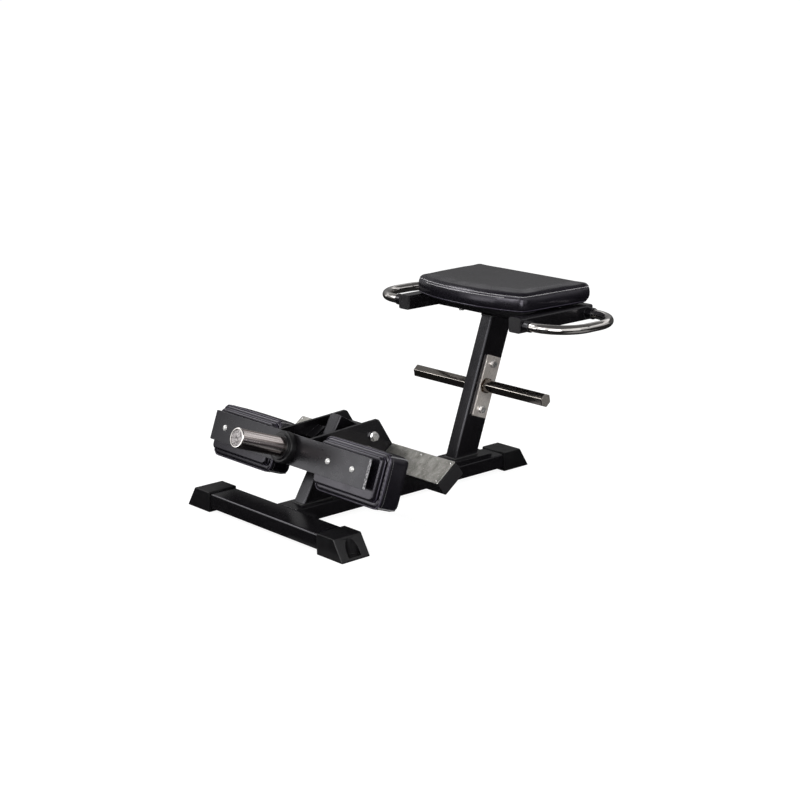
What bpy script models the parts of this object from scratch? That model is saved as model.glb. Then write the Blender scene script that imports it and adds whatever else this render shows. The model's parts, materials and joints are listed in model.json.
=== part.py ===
"""A plate-loaded tibialis machine: a low floor frame, a seat on a leaning post, and a tilting foot arm.

The user sits on the seat, sets the heels on the tread plates behind the pivot and lifts the padded
cross plate, which carries the weight horn, with the tops of the feet.

Units are metres. X runs across the machine, Y from the weight horn towards the seat, Z up. The frame
is drawn with Y = 0 at the middle of the front cross tube, and one empty then moves all of it so that
the origin lies on the floor under the middle of the whole machine.
"""

import math

import bmesh
import bpy
from mathutils import Matrix, Vector

# Fits and tube stock
TOUCH = 0.0003
BOLT_CLEARANCE = 0.0004
RUNNING_CLEARANCE = 0.0001
TUBE_WALL = 0.003
TUBE_CORNER = 0.005

# Floor frame
BASE_TUBE_WIDTH = 0.080
BASE_TUBE_HEIGHT = 0.040
GROUND_CLEARANCE = 0.010
FRONT_TUBE_LENGTH = 0.530
MAIN_TUBE_END = 0.815

# Foot caps, one moulding used three times
FOOT_LENGTH = 0.096
FOOT_SLOPE = 0.034
FOOT_SIDE_WALL = 0.004
FOOT_TOP_WALL = 0.004
FOOT_OVERLAP = 0.048
FOOT_EDGE = 0.003
FOOT_HOLLOW_DIAMETER = 0.039
FOOT_HOLLOW_FLOOR = 0.008
FOOT_HOLLOW_WALL = 0.018

# Pivot post
POST_WIDTH = 0.040
POST_DEPTH = 0.080
PIVOT_POST_LEAN = math.radians(31.3)
PIVOT_POST_FRONT = 0.0741
PIVOT_POST_LENGTH = 0.246

# Pivot
PIVOT_BEHIND_POST = 0.009
PIVOT_BELOW_POST_END = 0.014
HOUSING_DIAMETER = 0.048
BUSH_DIAMETER = 0.032
BUSH_LENGTH = 0.030
BUSH_FLANGE_DIAMETER = 0.040
BUSH_FLANGE = 0.0025
AXLE_DIAMETER = 0.025
AXLE_BOLT_GRIP = 0.022

# Swing arm
CHEEK_THICKNESS = 0.008
CHEEK_OUTSIDE = 0.066
CROSS_PLATE_LENGTH = 0.6074
CROSS_PLATE_HEIGHT = 0.077
CROSS_PLATE_THICKNESS = 0.008
CROSS_PLATE_TILT = math.radians(20)
CROSS_PLATE_Y = 0.0402
CROSS_PLATE_Z = 0.2033
PLATE_CORNER = 0.002
CHEEK_TOP_MARGIN = 0.004
CHEEK_BOTTOM_MARGIN = 0.004
CHEEK_CROWN_Y = 0.288
CHEEK_CROWN_Z = 0.2445
CHEEK_CROWN_RADIUS = 0.012

# Weight horn
HORN_DIAMETER = 0.050
HORN_LENGTH = 0.160
HORN_WALL = 0.003
HORN_CAP_RIM = 0.003
HORN_CAP_PLUG = 0.014
HORN_CAP_LIP_DIAMETER = 0.043
HORN_CAP_DISH_DIAMETER = 0.039
HORN_CAP_DISH = 0.0012
HORN_CAP_EDGE = 0.001
BUMPER_DIAMETER = 0.082
BUMPER_THICKNESS = 0.024
BUMPER_STEP_DIAMETER = 0.066
BUMPER_STEP = 0.006
BUMPER_EDGE = 0.003

# Shin pads
PAD_SPACER = 0.016
PAD_SPACER_DIAMETER = 0.028
PAD_BOARD_THICKNESS = 0.0154
PAD_BOARD_LENGTH = 0.223
PAD_BOARD_HEIGHT = 0.108
PAD_BOARD_CORNER = 0.012
PAD_CENTRE_X = 0.2075
PAD_BOARD_DROP = 0.008
PAD_DROP = 0.010
PAD_SHIFT = 0.002
PAD_LENGTH = 0.245
PAD_HEIGHT = 0.139
PAD_THICKNESS = 0.0735
PAD_CORNER = 0.019
PAD_BACK_EDGE = 0.017
PAD_FRONT_EDGE = 0.007
PAD_BOLT_PITCH = 0.090

# Heel rest
HEEL_TUBE_LENGTH = 0.600
HEEL_TUBE_DEPTH = 0.075
HEEL_TUBE_HEIGHT = 0.040
HEEL_TILT = math.radians(36.0)
HEEL_EDGE_Y = 0.3348
HEEL_EDGE_Z = 0.1700
HEEL_PLATE_THICKNESS = 0.003
HEEL_PLATE_INSIDE = 0.068
HEEL_PLATE_CORNER = 0.001
PLUG_FLANGE = 0.003
PLUG_DEPTH = 0.016

# Arm stop
STOP_PLATE_Y = 0.1837
STOP_PLATE_Z = 0.1888
STOP_SLOPE = math.radians(27.0)
STOP_PLATE_WIDTH = 0.096
STOP_PLATE_LENGTH = 0.050
STOP_PLATE_THICKNESS = 0.006
STOP_RUBBER_X = 0.038
STOP_RUBBER_WIDTH = 0.018
STOP_RUBBER_LENGTH = 0.042
STOP_RUBBER_THICKNESS = 0.020
STOP_RUBBER_EDGE = 0.002
STOP_LUG_REACH = 0.028
STOP_LUG_LENGTH = 0.046

# Seat post
FLANGE_THICKNESS = 0.012
FLANGE_FRONT = 0.590
FLANGE_LENGTH = 0.133
FLANGE_CORNER = 0.004
SEAT_POST_LEAN = math.radians(19.8)
SEAT_POST_FRONT = 0.601
SEAT_FRAME_BOTTOM = 0.4394

# Plate storage
STORAGE_BAR_Y = 0.712
STORAGE_BAR_Z = 0.245
RIGHT_STORAGE_BAR_RISE = 0.0065
STORAGE_BAR_FLATS = 0.033
STORAGE_BAR_CHAMFER = 0.0012
STORAGE_BAR_REACH = 0.248
STORAGE_PLATE_WIDTH = 0.053
STORAGE_PLATE_HEIGHT = 0.170
STORAGE_PLATE_THICKNESS = 0.006
STORAGE_PLATE_SET = 0.044
STORAGE_PLATE_RISE = 0.003
STORAGE_BOLT_PITCH = 0.127

# Seat frame
SIDE_TUBE_SIZE = 0.040
SIDE_TUBE_FRONT = 0.630
SIDE_TUBE_LENGTH = 0.272
SIDE_TUBE_X = 0.212
CROSS_TUBE_WIDTH = 0.080
HANDLE_DIAMETER = 0.025
HANDLE_INSET = 0.016
HANDLE_FRONT_BEND = 0.096
HANDLE_REAR_BEND = 0.104
HANDLE_REAR_STRAIGHT = 0.0052
HANDLE_COLLAR_DIAMETER = 0.031
HANDLE_COLLAR = 0.022

# Seat
SEAT_BOARD_THICKNESS = 0.012
SEAT_BOARD_MARGIN = 0.022
SEAT_LIFT = 0.0015
SEAT_THICKNESS = 0.0563
SEAT_FRONT = 0.6325
SEAT_REAR_OVERHANG = 0.0207
SEAT_FRONT_BOW = 0.588
SEAT_FRONT_HALF_WIDTH = 0.2047
SEAT_REAR_HALF_WIDTH = 0.217
SEAT_FRONT_CORNER = 0.022
SEAT_REAR_CORNER = 0.020
SEAT_TOP_EDGE = 0.0134
SEAT_LOWER_EDGE = 0.004
LEAST_SEAT_CORNER = 0.004
SEAT_TUCK_LENGTH = 0.028
SEAT_TUCK_HEIGHT = 0.024
SEAT_BOLT_SPACING_X = 0.240
SEAT_BOLT_SPACING_Y = 0.040

# Fasteners: shank diameter, head across flats or diameter, head height
AXLE_BOLT = {"shank": 0.012, "flats": 0.019, "head": 0.0075, "washer": 0.026, "washer_thickness": 0.0025}
STORAGE_BOLT = {"shank": 0.010, "flats": 0.017, "head": 0.0064, "washer": 0.021, "washer_thickness": 0.002}
SEAT_BOLT = {"shank": 0.008, "flats": 0.013, "head": 0.0053, "washer": 0.017, "washer_thickness": 0.0016}
PAD_BOLT = {"shank": 0.008, "diameter": 0.015, "head": 0.0048, "socket": 0.005, "socket_depth": 0.0026}
BUTTON_HEAD_ANGLES = (62, 40, 20, 0)
BUTTON_HEAD_FLAT = 0.0045
STORAGE_NUT_HEIGHT = 0.008
STORAGE_BOLT_END = 0.003
SCREW_IN_BOARD = 0.009

# Facets
ROUND_STEPS = 32
SMALL_ROUND_STEPS = 20
CORNER_STEPS = 3
HANDLE_BEND_STEPS = 12

# Places worked out from the sizes above
BASE_TOP = GROUND_CLEARANCE + BASE_TUBE_HEIGHT
FOOT_HEIGHT = BASE_TOP + TOUCH + FOOT_TOP_WALL
FLANGE_TOP = BASE_TOP + FLANGE_THICKNESS + TOUCH
SEAT_FRAME_TOP = SEAT_FRAME_BOTTOM + SIDE_TUBE_SIZE
SIDE_TUBE_REAR = SIDE_TUBE_FRONT + SIDE_TUBE_LENGTH
SEAT_REAR = SIDE_TUBE_REAR + SEAT_REAR_OVERHANG
HANDLE_FRONT_Y = SIDE_TUBE_FRONT + HANDLE_INSET
HANDLE_REAR_Y = SIDE_TUBE_REAR - HANDLE_INSET
CHEEK_INSIDE = CHEEK_OUTSIDE - CHEEK_THICKNESS
BORE_CORNER = max(TUBE_CORNER - TUBE_WALL, TUBE_WALL / 3)
SIDES = {"left": -1, "right": 1}

# Reads an outline drawn as (Y, Z) and thickened along X
SIDE_VIEW = Matrix(((0, 0, 1), (1, 0, 0), (0, 1, 0))).to_euler()
# Reads an outline drawn as (X, Z) and thickened along Y
FRONT_VIEW = Matrix.Rotation(math.radians(90), 3, "X").to_euler()
# Turns a shape made along Z so that it lies along +X or along -X
ALONG_X = {1: (0, math.radians(90), 0), -1: (0, math.radians(-90), 0)}

COLOURS = {
    "frame_paint": ((0.013, 0.011, 0.013, 1), 0.38, 0.0),
    "rubber": ((0.022, 0.022, 0.023, 1), 0.70, 0.0),
    "vinyl": ((0.014, 0.014, 0.018, 1), 0.45, 0.0),
    "stainless": ((0.62, 0.60, 0.58, 1), 0.16, 1.0),
    "zinc": ((0.70, 0.69, 0.66, 1), 0.30, 1.0),
    "tread_plate": ((0.32, 0.32, 0.28, 1), 0.45, 1.0),
    "plywood": ((0.42, 0.29, 0.17, 1), 0.75, 0.0),
    "bronze": ((0.55, 0.36, 0.15, 1), 0.35, 1.0),
    "plastic": ((0.018, 0.018, 0.019, 1), 0.50, 0.0),
}


def clear_scene():
    for obj in list(bpy.data.objects):
        bpy.data.objects.remove(obj, do_unlink=True)


def new_collection(name, hidden=False):
    collection = bpy.data.collections.new(name)
    collection.hide_render = hidden
    bpy.context.scene.collection.children.link(collection)
    return collection


def make_materials():
    found = {}
    for name, (colour, roughness, metallic) in COLOURS.items():
        material = bpy.data.materials.new(name)
        material.use_nodes = True
        shader = material.node_tree.nodes["Principled BSDF"]
        shader.inputs["Base Color"].default_value = colour
        shader.inputs["Roughness"].default_value = roughness
        shader.inputs["Metallic"].default_value = metallic
        found[name] = material
    return found


clear_scene()
PARTS = new_collection("tibialis_machine")
CUTTERS = new_collection("cutters", hidden=True)
MATERIALS = make_materials()


def new_empty(name, location, parent=None):
    empty = bpy.data.objects.new(name, None)
    PARTS.objects.link(empty)
    empty.location = location
    empty.parent = parent
    return empty


def add_part(name, mesh, material, parent, location=(0, 0, 0), rotation=(0, 0, 0)):
    """Puts a mesh in the model as one named piece of the parent's assembly, placed in machine coordinates."""
    part = bpy.data.objects.new(name, mesh)
    PARTS.objects.link(part)
    if not mesh.materials:
        mesh.materials.append(MATERIALS[material])
    part.parent = parent
    part.location = Vector(location) - ASSEMBLY_PLACES[parent.name]
    part.rotation_euler = rotation
    return part


def add_cutter(mesh, parent, location=(0, 0, 0), rotation=(0, 0, 0)):
    cutter = bpy.data.objects.new("cutter", mesh)
    CUTTERS.objects.link(cutter)
    cutter.hide_render = True
    cutter.display_type = "WIRE"
    cutter.parent = parent
    cutter.location = Vector(location) - ASSEMBLY_PLACES[parent.name]
    cutter.rotation_euler = rotation
    return cutter


def apply_boolean(part, tool, operation):
    modifier = part.modifiers.new(operation.title(), "BOOLEAN")
    modifier.operation = operation
    modifier.solver = "EXACT"
    modifier.object = tool


def cut(part, mesh, location=(0, 0, 0), rotation=(0, 0, 0)):
    apply_boolean(part, add_cutter(mesh, part.parent, location, rotation), "DIFFERENCE")


def fuse(part, mesh, location=(0, 0, 0), rotation=(0, 0, 0)):
    apply_boolean(part, add_cutter(mesh, part.parent, location, rotation), "UNION")


def round_edges(part, width, segments=1):
    """Bevels the edges that turn by more than a rounded corner's own facets do."""
    bevel = part.modifiers.new("Bevel", "BEVEL")
    bevel.width = width
    bevel.segments = segments
    bevel.limit_method = "ANGLE"
    bevel.angle_limit = math.radians(50)
    bevel.use_clamp_overlap = True
    return bevel


def shade(mesh):
    mesh.shade_smooth()
    mesh.set_sharp_from_angle(angle=math.radians(32))
    return mesh


def mesh_of_object(obj, name):
    """The evaluated mesh of a temporary object, welded and shaded, with the object removed."""
    bpy.context.view_layer.update()
    graph = bpy.context.evaluated_depsgraph_get()
    mesh = bpy.data.meshes.new_from_object(obj.evaluated_get(graph))
    mesh.name = name
    bpy.data.objects.remove(obj, do_unlink=True)
    welded = bmesh.new()
    welded.from_mesh(mesh)
    bmesh.ops.remove_doubles(welded, verts=welded.verts, dist=1e-6)
    bmesh.ops.recalc_face_normals(welded, faces=welded.faces)
    welded.to_mesh(mesh)
    welded.free()
    return shade(mesh)


def extrusion(outlines, thickness):
    """A flat outline, with any holes, thickened along Z about its own plane."""
    curve = bpy.data.curves.new("outline", "CURVE")
    curve.dimensions = "2D"
    curve.fill_mode = "BOTH"
    curve.extrude = thickness / 2
    for outline in outlines:
        spline = curve.splines.new("POLY")
        spline.points.add(len(outline) - 1)
        for point, (x, y) in zip(spline.points, outline):
            point.co = (x, y, 0, 1)
        spline.use_cyclic_u = True
    holder = bpy.data.objects.new("outline", curve)
    CUTTERS.objects.link(holder)
    return mesh_of_object(holder, "extrusion")


def cylinder(diameter, length, steps=ROUND_STEPS, turn=0.0):
    """A cylinder along Z about its own centre; with six steps it is a hexagonal bar."""
    solid = bmesh.new()
    radius = diameter / 2
    bmesh.ops.create_cone(
        solid, cap_ends=True, segments=steps, radius1=radius, radius2=radius, depth=length,
        matrix=Matrix.Rotation(turn, 4, "Z"),
    )
    mesh = bpy.data.meshes.new("cylinder")
    solid.to_mesh(mesh)
    solid.free()
    return shade(mesh)


def hexagon(flats, length, turn=0.0):
    return cylinder(flats / math.cos(math.pi / 6), length, 6, turn)


def bore(diameter, length, steps=ROUND_STEPS):
    """A cutter whose flats, not its corners, lie on the diameter, so that a round piece turns inside it."""
    return cylinder(diameter / math.cos(math.pi / steps), length, steps)


def box(size, centre=(0, 0, 0)):
    solid = bmesh.new()
    bmesh.ops.create_cube(solid, size=1.0, matrix=Matrix.Translation(centre) @ Matrix.Diagonal((*size, 1)))
    mesh = bpy.data.meshes.new("box")
    solid.to_mesh(mesh)
    solid.free()
    return mesh


def turned(profile, steps=ROUND_STEPS):
    """A solid of revolution about Z. The profile is (radius, height) points from the top end to the bottom one."""
    outline = bpy.data.meshes.new("profile")
    points = [(radius, 0, height) for radius, height in profile]
    closed = profile[0][0] > 0
    edges = [(i, i + 1) for i in range(len(points) - 1)]
    if closed:
        edges.append((len(points) - 1, 0))
    outline.from_pydata(points, edges, [])
    holder = bpy.data.objects.new("profile", outline)
    CUTTERS.objects.link(holder)
    screw = holder.modifiers.new("Screw", "SCREW")
    screw.steps = steps
    screw.render_steps = steps
    screw.use_merge_vertices = True
    screw.merge_threshold = 1e-5
    screw.use_normal_calculate = True
    return mesh_of_object(holder, "turned")


def stacked(rings):
    """A closed solid through outlines with the same count of points, from the lowest (outline, height) up."""
    solid = bmesh.new()
    loops = [[solid.verts.new((x, y, height)) for x, y in outline] for outline, height in rings]
    solid.faces.new(reversed(loops[0]))
    solid.faces.new(loops[-1])
    for lower, upper in zip(loops, loops[1:]):
        for i in range(len(lower)):
            solid.faces.new((lower[i - 1], lower[i], upper[i], upper[i - 1]))
    mesh = bpy.data.meshes.new("stacked")
    solid.to_mesh(mesh)
    solid.free()
    return shade(mesh)


def cushion_profile(thickness, lower_edge, upper_edge):
    """How far in from the outline, and how high, each ring of a cushion with rounded edges lies."""
    lower = [(lower_edge - x, lower_edge + y) for x, y in arc((0, 0), lower_edge, -math.pi / 2, 0, 2)]
    upper = [
        (upper_edge - x, thickness - upper_edge + y) for x, y in arc((0, 0), upper_edge, 0, math.pi / 2, 4)
    ]
    return lower + upper


def arc(centre, radius, start, end, steps):
    """Points on a circle from one angle to another, in radians."""
    angles = [start + (end - start) * i / steps for i in range(steps + 1)]
    return [(centre[0] + radius * math.cos(a), centre[1] + radius * math.sin(a)) for a in angles]


def rounded(corners, steps=CORNER_STEPS):
    """A closed outline from (x, y, radius) corners, each turned into an arc that touches both its sides."""
    outline = []
    for i, (x, y, radius) in enumerate(corners):
        here = Vector((x, y))
        before = Vector(corners[i - 1][:2]) - here
        after = Vector(corners[(i + 1) % len(corners)][:2]) - here
        if radius <= 0:
            outline.append((x, y))
            continue
        before.normalize()
        after.normalize()
        half = math.acos(max(-1, min(1, before.dot(after)))) / 2
        middle = here + (before + after).normalized() * radius / math.sin(half)
        first = here + before * radius / math.tan(half) - middle
        last = here + after * radius / math.tan(half) - middle
        start = math.atan2(first.y, first.x)
        turn = math.remainder(math.atan2(last.y, last.x) - start, 2 * math.pi)
        outline += arc(middle, radius, start, start + turn, steps)
    return outline


def rectangle(width, height, radius=0.0, centre=(0, 0), steps=CORNER_STEPS):
    x, y = centre
    signs = ((-1, -1), (1, -1), (1, 1), (-1, 1))
    return rounded([(x + sx * width / 2, y + sy * height / 2, radius) for sx, sy in signs], steps)


def tube_section(width, height, wall=TUBE_WALL):
    """A rectangular tube's outline and its bore."""
    return [rectangle(width, height, TUBE_CORNER), rectangle(width - 2 * wall, height - 2 * wall, BORE_CORNER)]


def leaning(front, height, lean, along, back):
    """The side-view place on a post: so far along it from a height, and so far behind its front face."""
    y = front + along * math.sin(lean) + back * math.cos(lean)
    z = height + along * math.cos(lean) - back * math.sin(lean)
    return y, z


def on_cross_plate(x, up, behind):
    """The place across, up along and behind the cross plate's front face."""
    cos, sin = math.cos(CROSS_PLATE_TILT), math.sin(CROSS_PLATE_TILT)
    return (x, CROSS_PLATE_Y + up * sin + behind * cos, CROSS_PLATE_Z + up * cos - behind * sin)


def on_heel(x, forward, below):
    """The place on the heel tube, measured from its upper rear edge along and below its top face."""
    cos, sin = math.cos(HEEL_TILT), math.sin(HEEL_TILT)
    return (x, HEEL_EDGE_Y - forward * cos + below * sin, HEEL_EDGE_Z - forward * sin - below * cos)


def on_stop(x, above):
    """The place across and above the middle of the stop plate's upper face."""
    return (x, STOP_PLATE_Y - above * math.sin(STOP_SLOPE), STOP_PLATE_Z + above * math.cos(STOP_SLOPE))


PIVOT_Y, PIVOT_Z = leaning(
    PIVOT_POST_FRONT, BASE_TOP, PIVOT_POST_LEAN,
    PIVOT_POST_LENGTH - PIVOT_BELOW_POST_END, POST_DEPTH + PIVOT_BEHIND_POST,
)
HORN_TIP_Y = on_cross_plate(0, HORN_CAP_EDGE - HORN_DIAMETER / 2, -HORN_LENGTH)[1]
MIDDLE = Vector((0, (HORN_TIP_Y + SEAT_REAR) / 2, 0))
PIVOT = Vector((0, PIVOT_Y, PIVOT_Z))

# Facing the user: the cross plate's frame, with the outline's Y up the plate and its Z towards the horn
PLATE_VIEW = (Matrix.Rotation(-CROSS_PLATE_TILT, 3, "X") @ Matrix.Rotation(math.radians(90), 3, "X")).to_euler()
HEEL_VIEW = (Matrix.Rotation(HEEL_TILT, 3, "X")).to_euler()

ASSEMBLY_PLACES = {"machine": Vector((0, 0, 0)), "arm": PIVOT}
MACHINE = new_empty("machine", -MIDDLE)
ARM = new_empty("arm", PIVOT, MACHINE)


def hex_fastener(sizes, shank_length, name):
    """A hex head on a washer, with the washer's seat at Z = 0 and the shank running down from it."""
    washer = sizes["washer_thickness"]
    shank = sizes["shank"] / 2
    profile = [
        (0, washer), (sizes["washer"] / 2, washer), (sizes["washer"] / 2, 0), (shank, 0),
        (shank, -shank_length), (0, -shank_length),
    ]
    holder = bpy.data.objects.new(name, turned(profile, SMALL_ROUND_STEPS))
    PARTS.objects.link(holder)
    height = sizes["head"] + washer / 2
    head = bpy.data.objects.new("head", hexagon(sizes["flats"], height))
    CUTTERS.objects.link(head)
    head.location.z = washer / 2 + height / 2
    apply_boolean(holder, head, "UNION")
    mesh = mesh_of_object(holder, name)
    bpy.data.objects.remove(head, do_unlink=True)
    return mesh


def button_bolt_mesh():
    """A domed head with a hexagon socket; its seat is at Z = 0."""
    radius = PAD_BOLT["diameter"] / 2
    head = PAD_BOLT["head"]
    angles = [math.radians(angle) for angle in BUTTON_HEAD_ANGLES]
    dome = [(radius * math.cos(angle), head * math.sin(angle)) for angle in angles]
    shank = PAD_BOLT["shank"] / 2
    length = CROSS_PLATE_THICKNESS + PAD_SPACER + TOUCH + SCREW_IN_BOARD
    profile = [(0, head), (BUTTON_HEAD_FLAT / 2, head)] + dome + [(shank, 0), (shank, -length), (0, -length)]
    holder = bpy.data.objects.new("pad_bolt", turned(profile, SMALL_ROUND_STEPS))
    PARTS.objects.link(holder)
    socket = bpy.data.objects.new("socket", hexagon(PAD_BOLT["socket"], 2 * PAD_BOLT["socket_depth"]))
    CUTTERS.objects.link(socket)
    socket.location.z = head
    apply_boolean(holder, socket, "DIFFERENCE")
    mesh = mesh_of_object(holder, "pad_bolt")
    bpy.data.objects.remove(socket, do_unlink=True)
    return mesh


def end_plug_mesh(width, height):
    """A moulded plug: a flange that covers the tube's end and a foot that fills its bore, along Z."""
    inset = 2 * (TUBE_WALL + TOUCH)
    foot = extrusion([rectangle(width - inset, height - inset, BORE_CORNER)], PLUG_DEPTH + PLUG_FLANGE / 2)
    holder = bpy.data.objects.new("plug", extrusion([rectangle(width, height, TUBE_CORNER)], PLUG_FLANGE))
    PARTS.objects.link(holder)
    inner = bpy.data.objects.new("foot", foot)
    inner.location.z = -PLUG_FLANGE / 4 - PLUG_DEPTH / 2
    CUTTERS.objects.link(inner)
    apply_boolean(holder, inner, "UNION")
    mesh = mesh_of_object(holder, "plug")
    mesh.transform(Matrix.Translation((0, 0, PLUG_FLANGE / 2)))
    bpy.data.objects.remove(inner, do_unlink=True)
    return mesh


def foot_cap_mesh():
    """The cap in its own frame: open end at X = 0, sloped end outwards, underside on the floor.

    An upright round hollow opens through the slope."""
    width = BASE_TUBE_WIDTH + 2 * (FOOT_SIDE_WALL + TOUCH)
    outline = [(0, 0), (FOOT_LENGTH, 0), (FOOT_LENGTH - FOOT_SLOPE, FOOT_HEIGHT), (0, FOOT_HEIGHT)]
    solid = extrusion([outline], width)
    solid.transform(Matrix.Rotation(math.radians(90), 4, "X"))
    holder = bpy.data.objects.new("foot_cap", solid)
    PARTS.objects.link(holder)
    round_edges(holder, FOOT_EDGE, 2)

    tube = box(
        (2 * (FOOT_OVERLAP + TOUCH), BASE_TUBE_WIDTH + 2 * TOUCH, BASE_TUBE_HEIGHT + 2 * TOUCH),
        (0, 0, GROUND_CLEARANCE + BASE_TUBE_HEIGHT / 2),
    )
    socket = bpy.data.objects.new("socket", tube)
    CUTTERS.objects.link(socket)
    apply_boolean(holder, socket, "DIFFERENCE")

    hollow = bpy.data.objects.new("hollow", cylinder(FOOT_HOLLOW_DIAMETER, 2 * FOOT_HEIGHT))
    CUTTERS.objects.link(hollow)
    middle = FOOT_OVERLAP + FOOT_HOLLOW_WALL + FOOT_HOLLOW_DIAMETER / 2
    hollow.location = (middle, 0, FOOT_HOLLOW_FLOOR + FOOT_HEIGHT)
    apply_boolean(holder, hollow, "DIFFERENCE")

    mesh = mesh_of_object(holder, "foot_cap")
    for tool in (socket, hollow):
        bpy.data.objects.remove(tool, do_unlink=True)
    return mesh


def add_floor_frame():
    section = tube_section(BASE_TUBE_WIDTH, BASE_TUBE_HEIGHT)
    middle_height = GROUND_CLEARANCE + BASE_TUBE_HEIGHT / 2
    add_part(
        "front_cross_tube", extrusion(section, FRONT_TUBE_LENGTH), "frame_paint", MACHINE,
        (0, 0, middle_height), SIDE_VIEW,
    )
    start = BASE_TUBE_WIDTH / 2 + TOUCH
    length = MAIN_TUBE_END - start
    add_part(
        "main_tube", extrusion(section, length), "frame_paint", MACHINE,
        (0, start + length / 2, middle_height), FRONT_VIEW,
    )


def add_foot_caps():
    cap = foot_cap_mesh()
    inner_end = FRONT_TUBE_LENGTH / 2 - FOOT_OVERLAP
    for side, sign in SIDES.items():
        turn = 0 if sign > 0 else math.pi
        add_part(f"front_foot_{side}", cap, "rubber", MACHINE, (sign * inner_end, 0, 0), (0, 0, turn))
    add_part(
        "rear_foot", cap, "rubber", MACHINE, (0, MAIN_TUBE_END - FOOT_OVERLAP, 0), (0, 0, math.radians(90)),
    )


def add_pivot_post():
    """The post is drawn too long at its foot, cut level, coped round the housing and slotted for the stop."""
    extra = POST_DEPTH
    length = PIVOT_POST_LENGTH + extra
    y, z = leaning(
        PIVOT_POST_FRONT, BASE_TOP, PIVOT_POST_LEAN, PIVOT_POST_LENGTH - length / 2, POST_DEPTH / 2,
    )
    post = add_part(
        "pivot_post", extrusion(tube_section(POST_WIDTH, POST_DEPTH), length), "frame_paint", MACHINE,
        (0, y, z), (-PIVOT_POST_LEAN, 0, 0),
    )
    block = 4 * POST_DEPTH
    cut(post, box((block, block, block)), (0, PIVOT_POST_FRONT, BASE_TOP + TOUCH - block / 2))
    cut(post, cylinder(HOUSING_DIAMETER + 2 * TOUCH, 2 * POST_WIDTH), PIVOT, ALONG_X[1])
    slot = box((2 * POST_WIDTH, STOP_PLATE_LENGTH + 2 * TOUCH, STOP_PLATE_THICKNESS + 2 * TOUCH))
    cut(post, slot, on_stop(0, -STOP_PLATE_THICKNESS / 2), (STOP_SLOPE, 0, 0))


def add_pivot_housing():
    flange_outer = CHEEK_INSIDE - TOUCH
    length = 2 * (flange_outer - BUSH_FLANGE - TOUCH)
    housing = add_part(
        "pivot_housing", cylinder(HOUSING_DIAMETER, length), "frame_paint", MACHINE, PIVOT, ALONG_X[1],
    )
    cut(housing, bore(BUSH_DIAMETER + 2 * TOUCH, 2 * length), PIVOT, ALONG_X[1])
    inner = (AXLE_DIAMETER / 2 + RUNNING_CLEARANCE) / math.cos(math.pi / ROUND_STEPS)
    profile = [
        (inner, 0), (BUSH_FLANGE_DIAMETER / 2, 0), (BUSH_FLANGE_DIAMETER / 2, -BUSH_FLANGE),
        (BUSH_DIAMETER / 2, -BUSH_FLANGE), (BUSH_DIAMETER / 2, -BUSH_LENGTH), (inner, -BUSH_LENGTH),
    ]
    bush = turned(profile)
    for side, sign in SIDES.items():
        add_part(
            f"pivot_bush_{side}", bush, "bronze", MACHINE, PIVOT + Vector((sign * flange_outer, 0, 0)),
            ALONG_X[sign],
        )


def add_pivot_axle():
    length = 2 * (CHEEK_INSIDE - TOUCH)
    axle = add_part("pivot_axle", cylinder(AXLE_DIAMETER, length), "zinc", ARM, PIVOT, ALONG_X[1])
    hole = bore(AXLE_BOLT["shank"] + 2 * BOLT_CLEARANCE, 2 * (AXLE_BOLT_GRIP + BOLT_CLEARANCE), SMALL_ROUND_STEPS)
    bolt = hex_fastener(AXLE_BOLT, CHEEK_THICKNESS + 2 * TOUCH + AXLE_BOLT_GRIP, "axle_bolt")
    for side, sign in SIDES.items():
        cut(axle, hole, PIVOT + Vector((sign * length / 2, 0, 0)), ALONG_X[1])
        seat = Vector((sign * (CHEEK_OUTSIDE + TOUCH), 0, 0))
        add_part(f"axle_bolt_{side}", bolt, "zinc", ARM, PIVOT + seat, ALONG_X[sign])


def cheek_outline():
    """The side plate, from the cross plate's back over the pivot to the heel tube, as (Y, Z)."""
    behind = CROSS_PLATE_THICKNESS + TOUCH
    half = CROSS_PLATE_HEIGHT / 2
    top = on_cross_plate(0, half - CHEEK_TOP_MARGIN, behind)
    bottom = on_cross_plate(0, CHEEK_BOTTOM_MARGIN - half, behind)
    heel_rear = on_heel(0, 0, -TOUCH)
    heel_front = on_heel(0, HEEL_TUBE_DEPTH, -TOUCH)
    return rounded([
        (top[1], top[2], 0), (bottom[1], bottom[2], 0), (heel_front[1], heel_front[2], 0),
        (heel_rear[1], heel_rear[2], 0), (CHEEK_CROWN_Y, CHEEK_CROWN_Z, CHEEK_CROWN_RADIUS),
    ])


def add_cheeks():
    """Each cheek carries an inward lug, which comes down on the stop's rubber block."""
    sunk = CHEEK_THICKNESS / 2
    lug = box((STOP_LUG_REACH + sunk, STOP_LUG_LENGTH, STOP_PLATE_THICKNESS))
    lug_x = CHEEK_INSIDE - (STOP_LUG_REACH - sunk) / 2
    lug_above = 2 * TOUCH + STOP_RUBBER_THICKNESS + STOP_PLATE_THICKNESS / 2
    plate = extrusion([cheek_outline()], CHEEK_THICKNESS)
    hole = bore(AXLE_BOLT["shank"] + 2 * BOLT_CLEARANCE, 4 * CHEEK_THICKNESS, SMALL_ROUND_STEPS)
    for side, sign in SIDES.items():
        x = sign * (CHEEK_OUTSIDE - CHEEK_THICKNESS / 2)
        cheek = add_part(f"cheek_{side}", plate, "frame_paint", ARM, (x, 0, 0), SIDE_VIEW)
        fuse(cheek, lug, on_stop(sign * lug_x, lug_above), (STOP_SLOPE, 0, 0))
        cut(cheek, hole, PIVOT + Vector((x, 0, 0)), ALONG_X[1])


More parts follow.
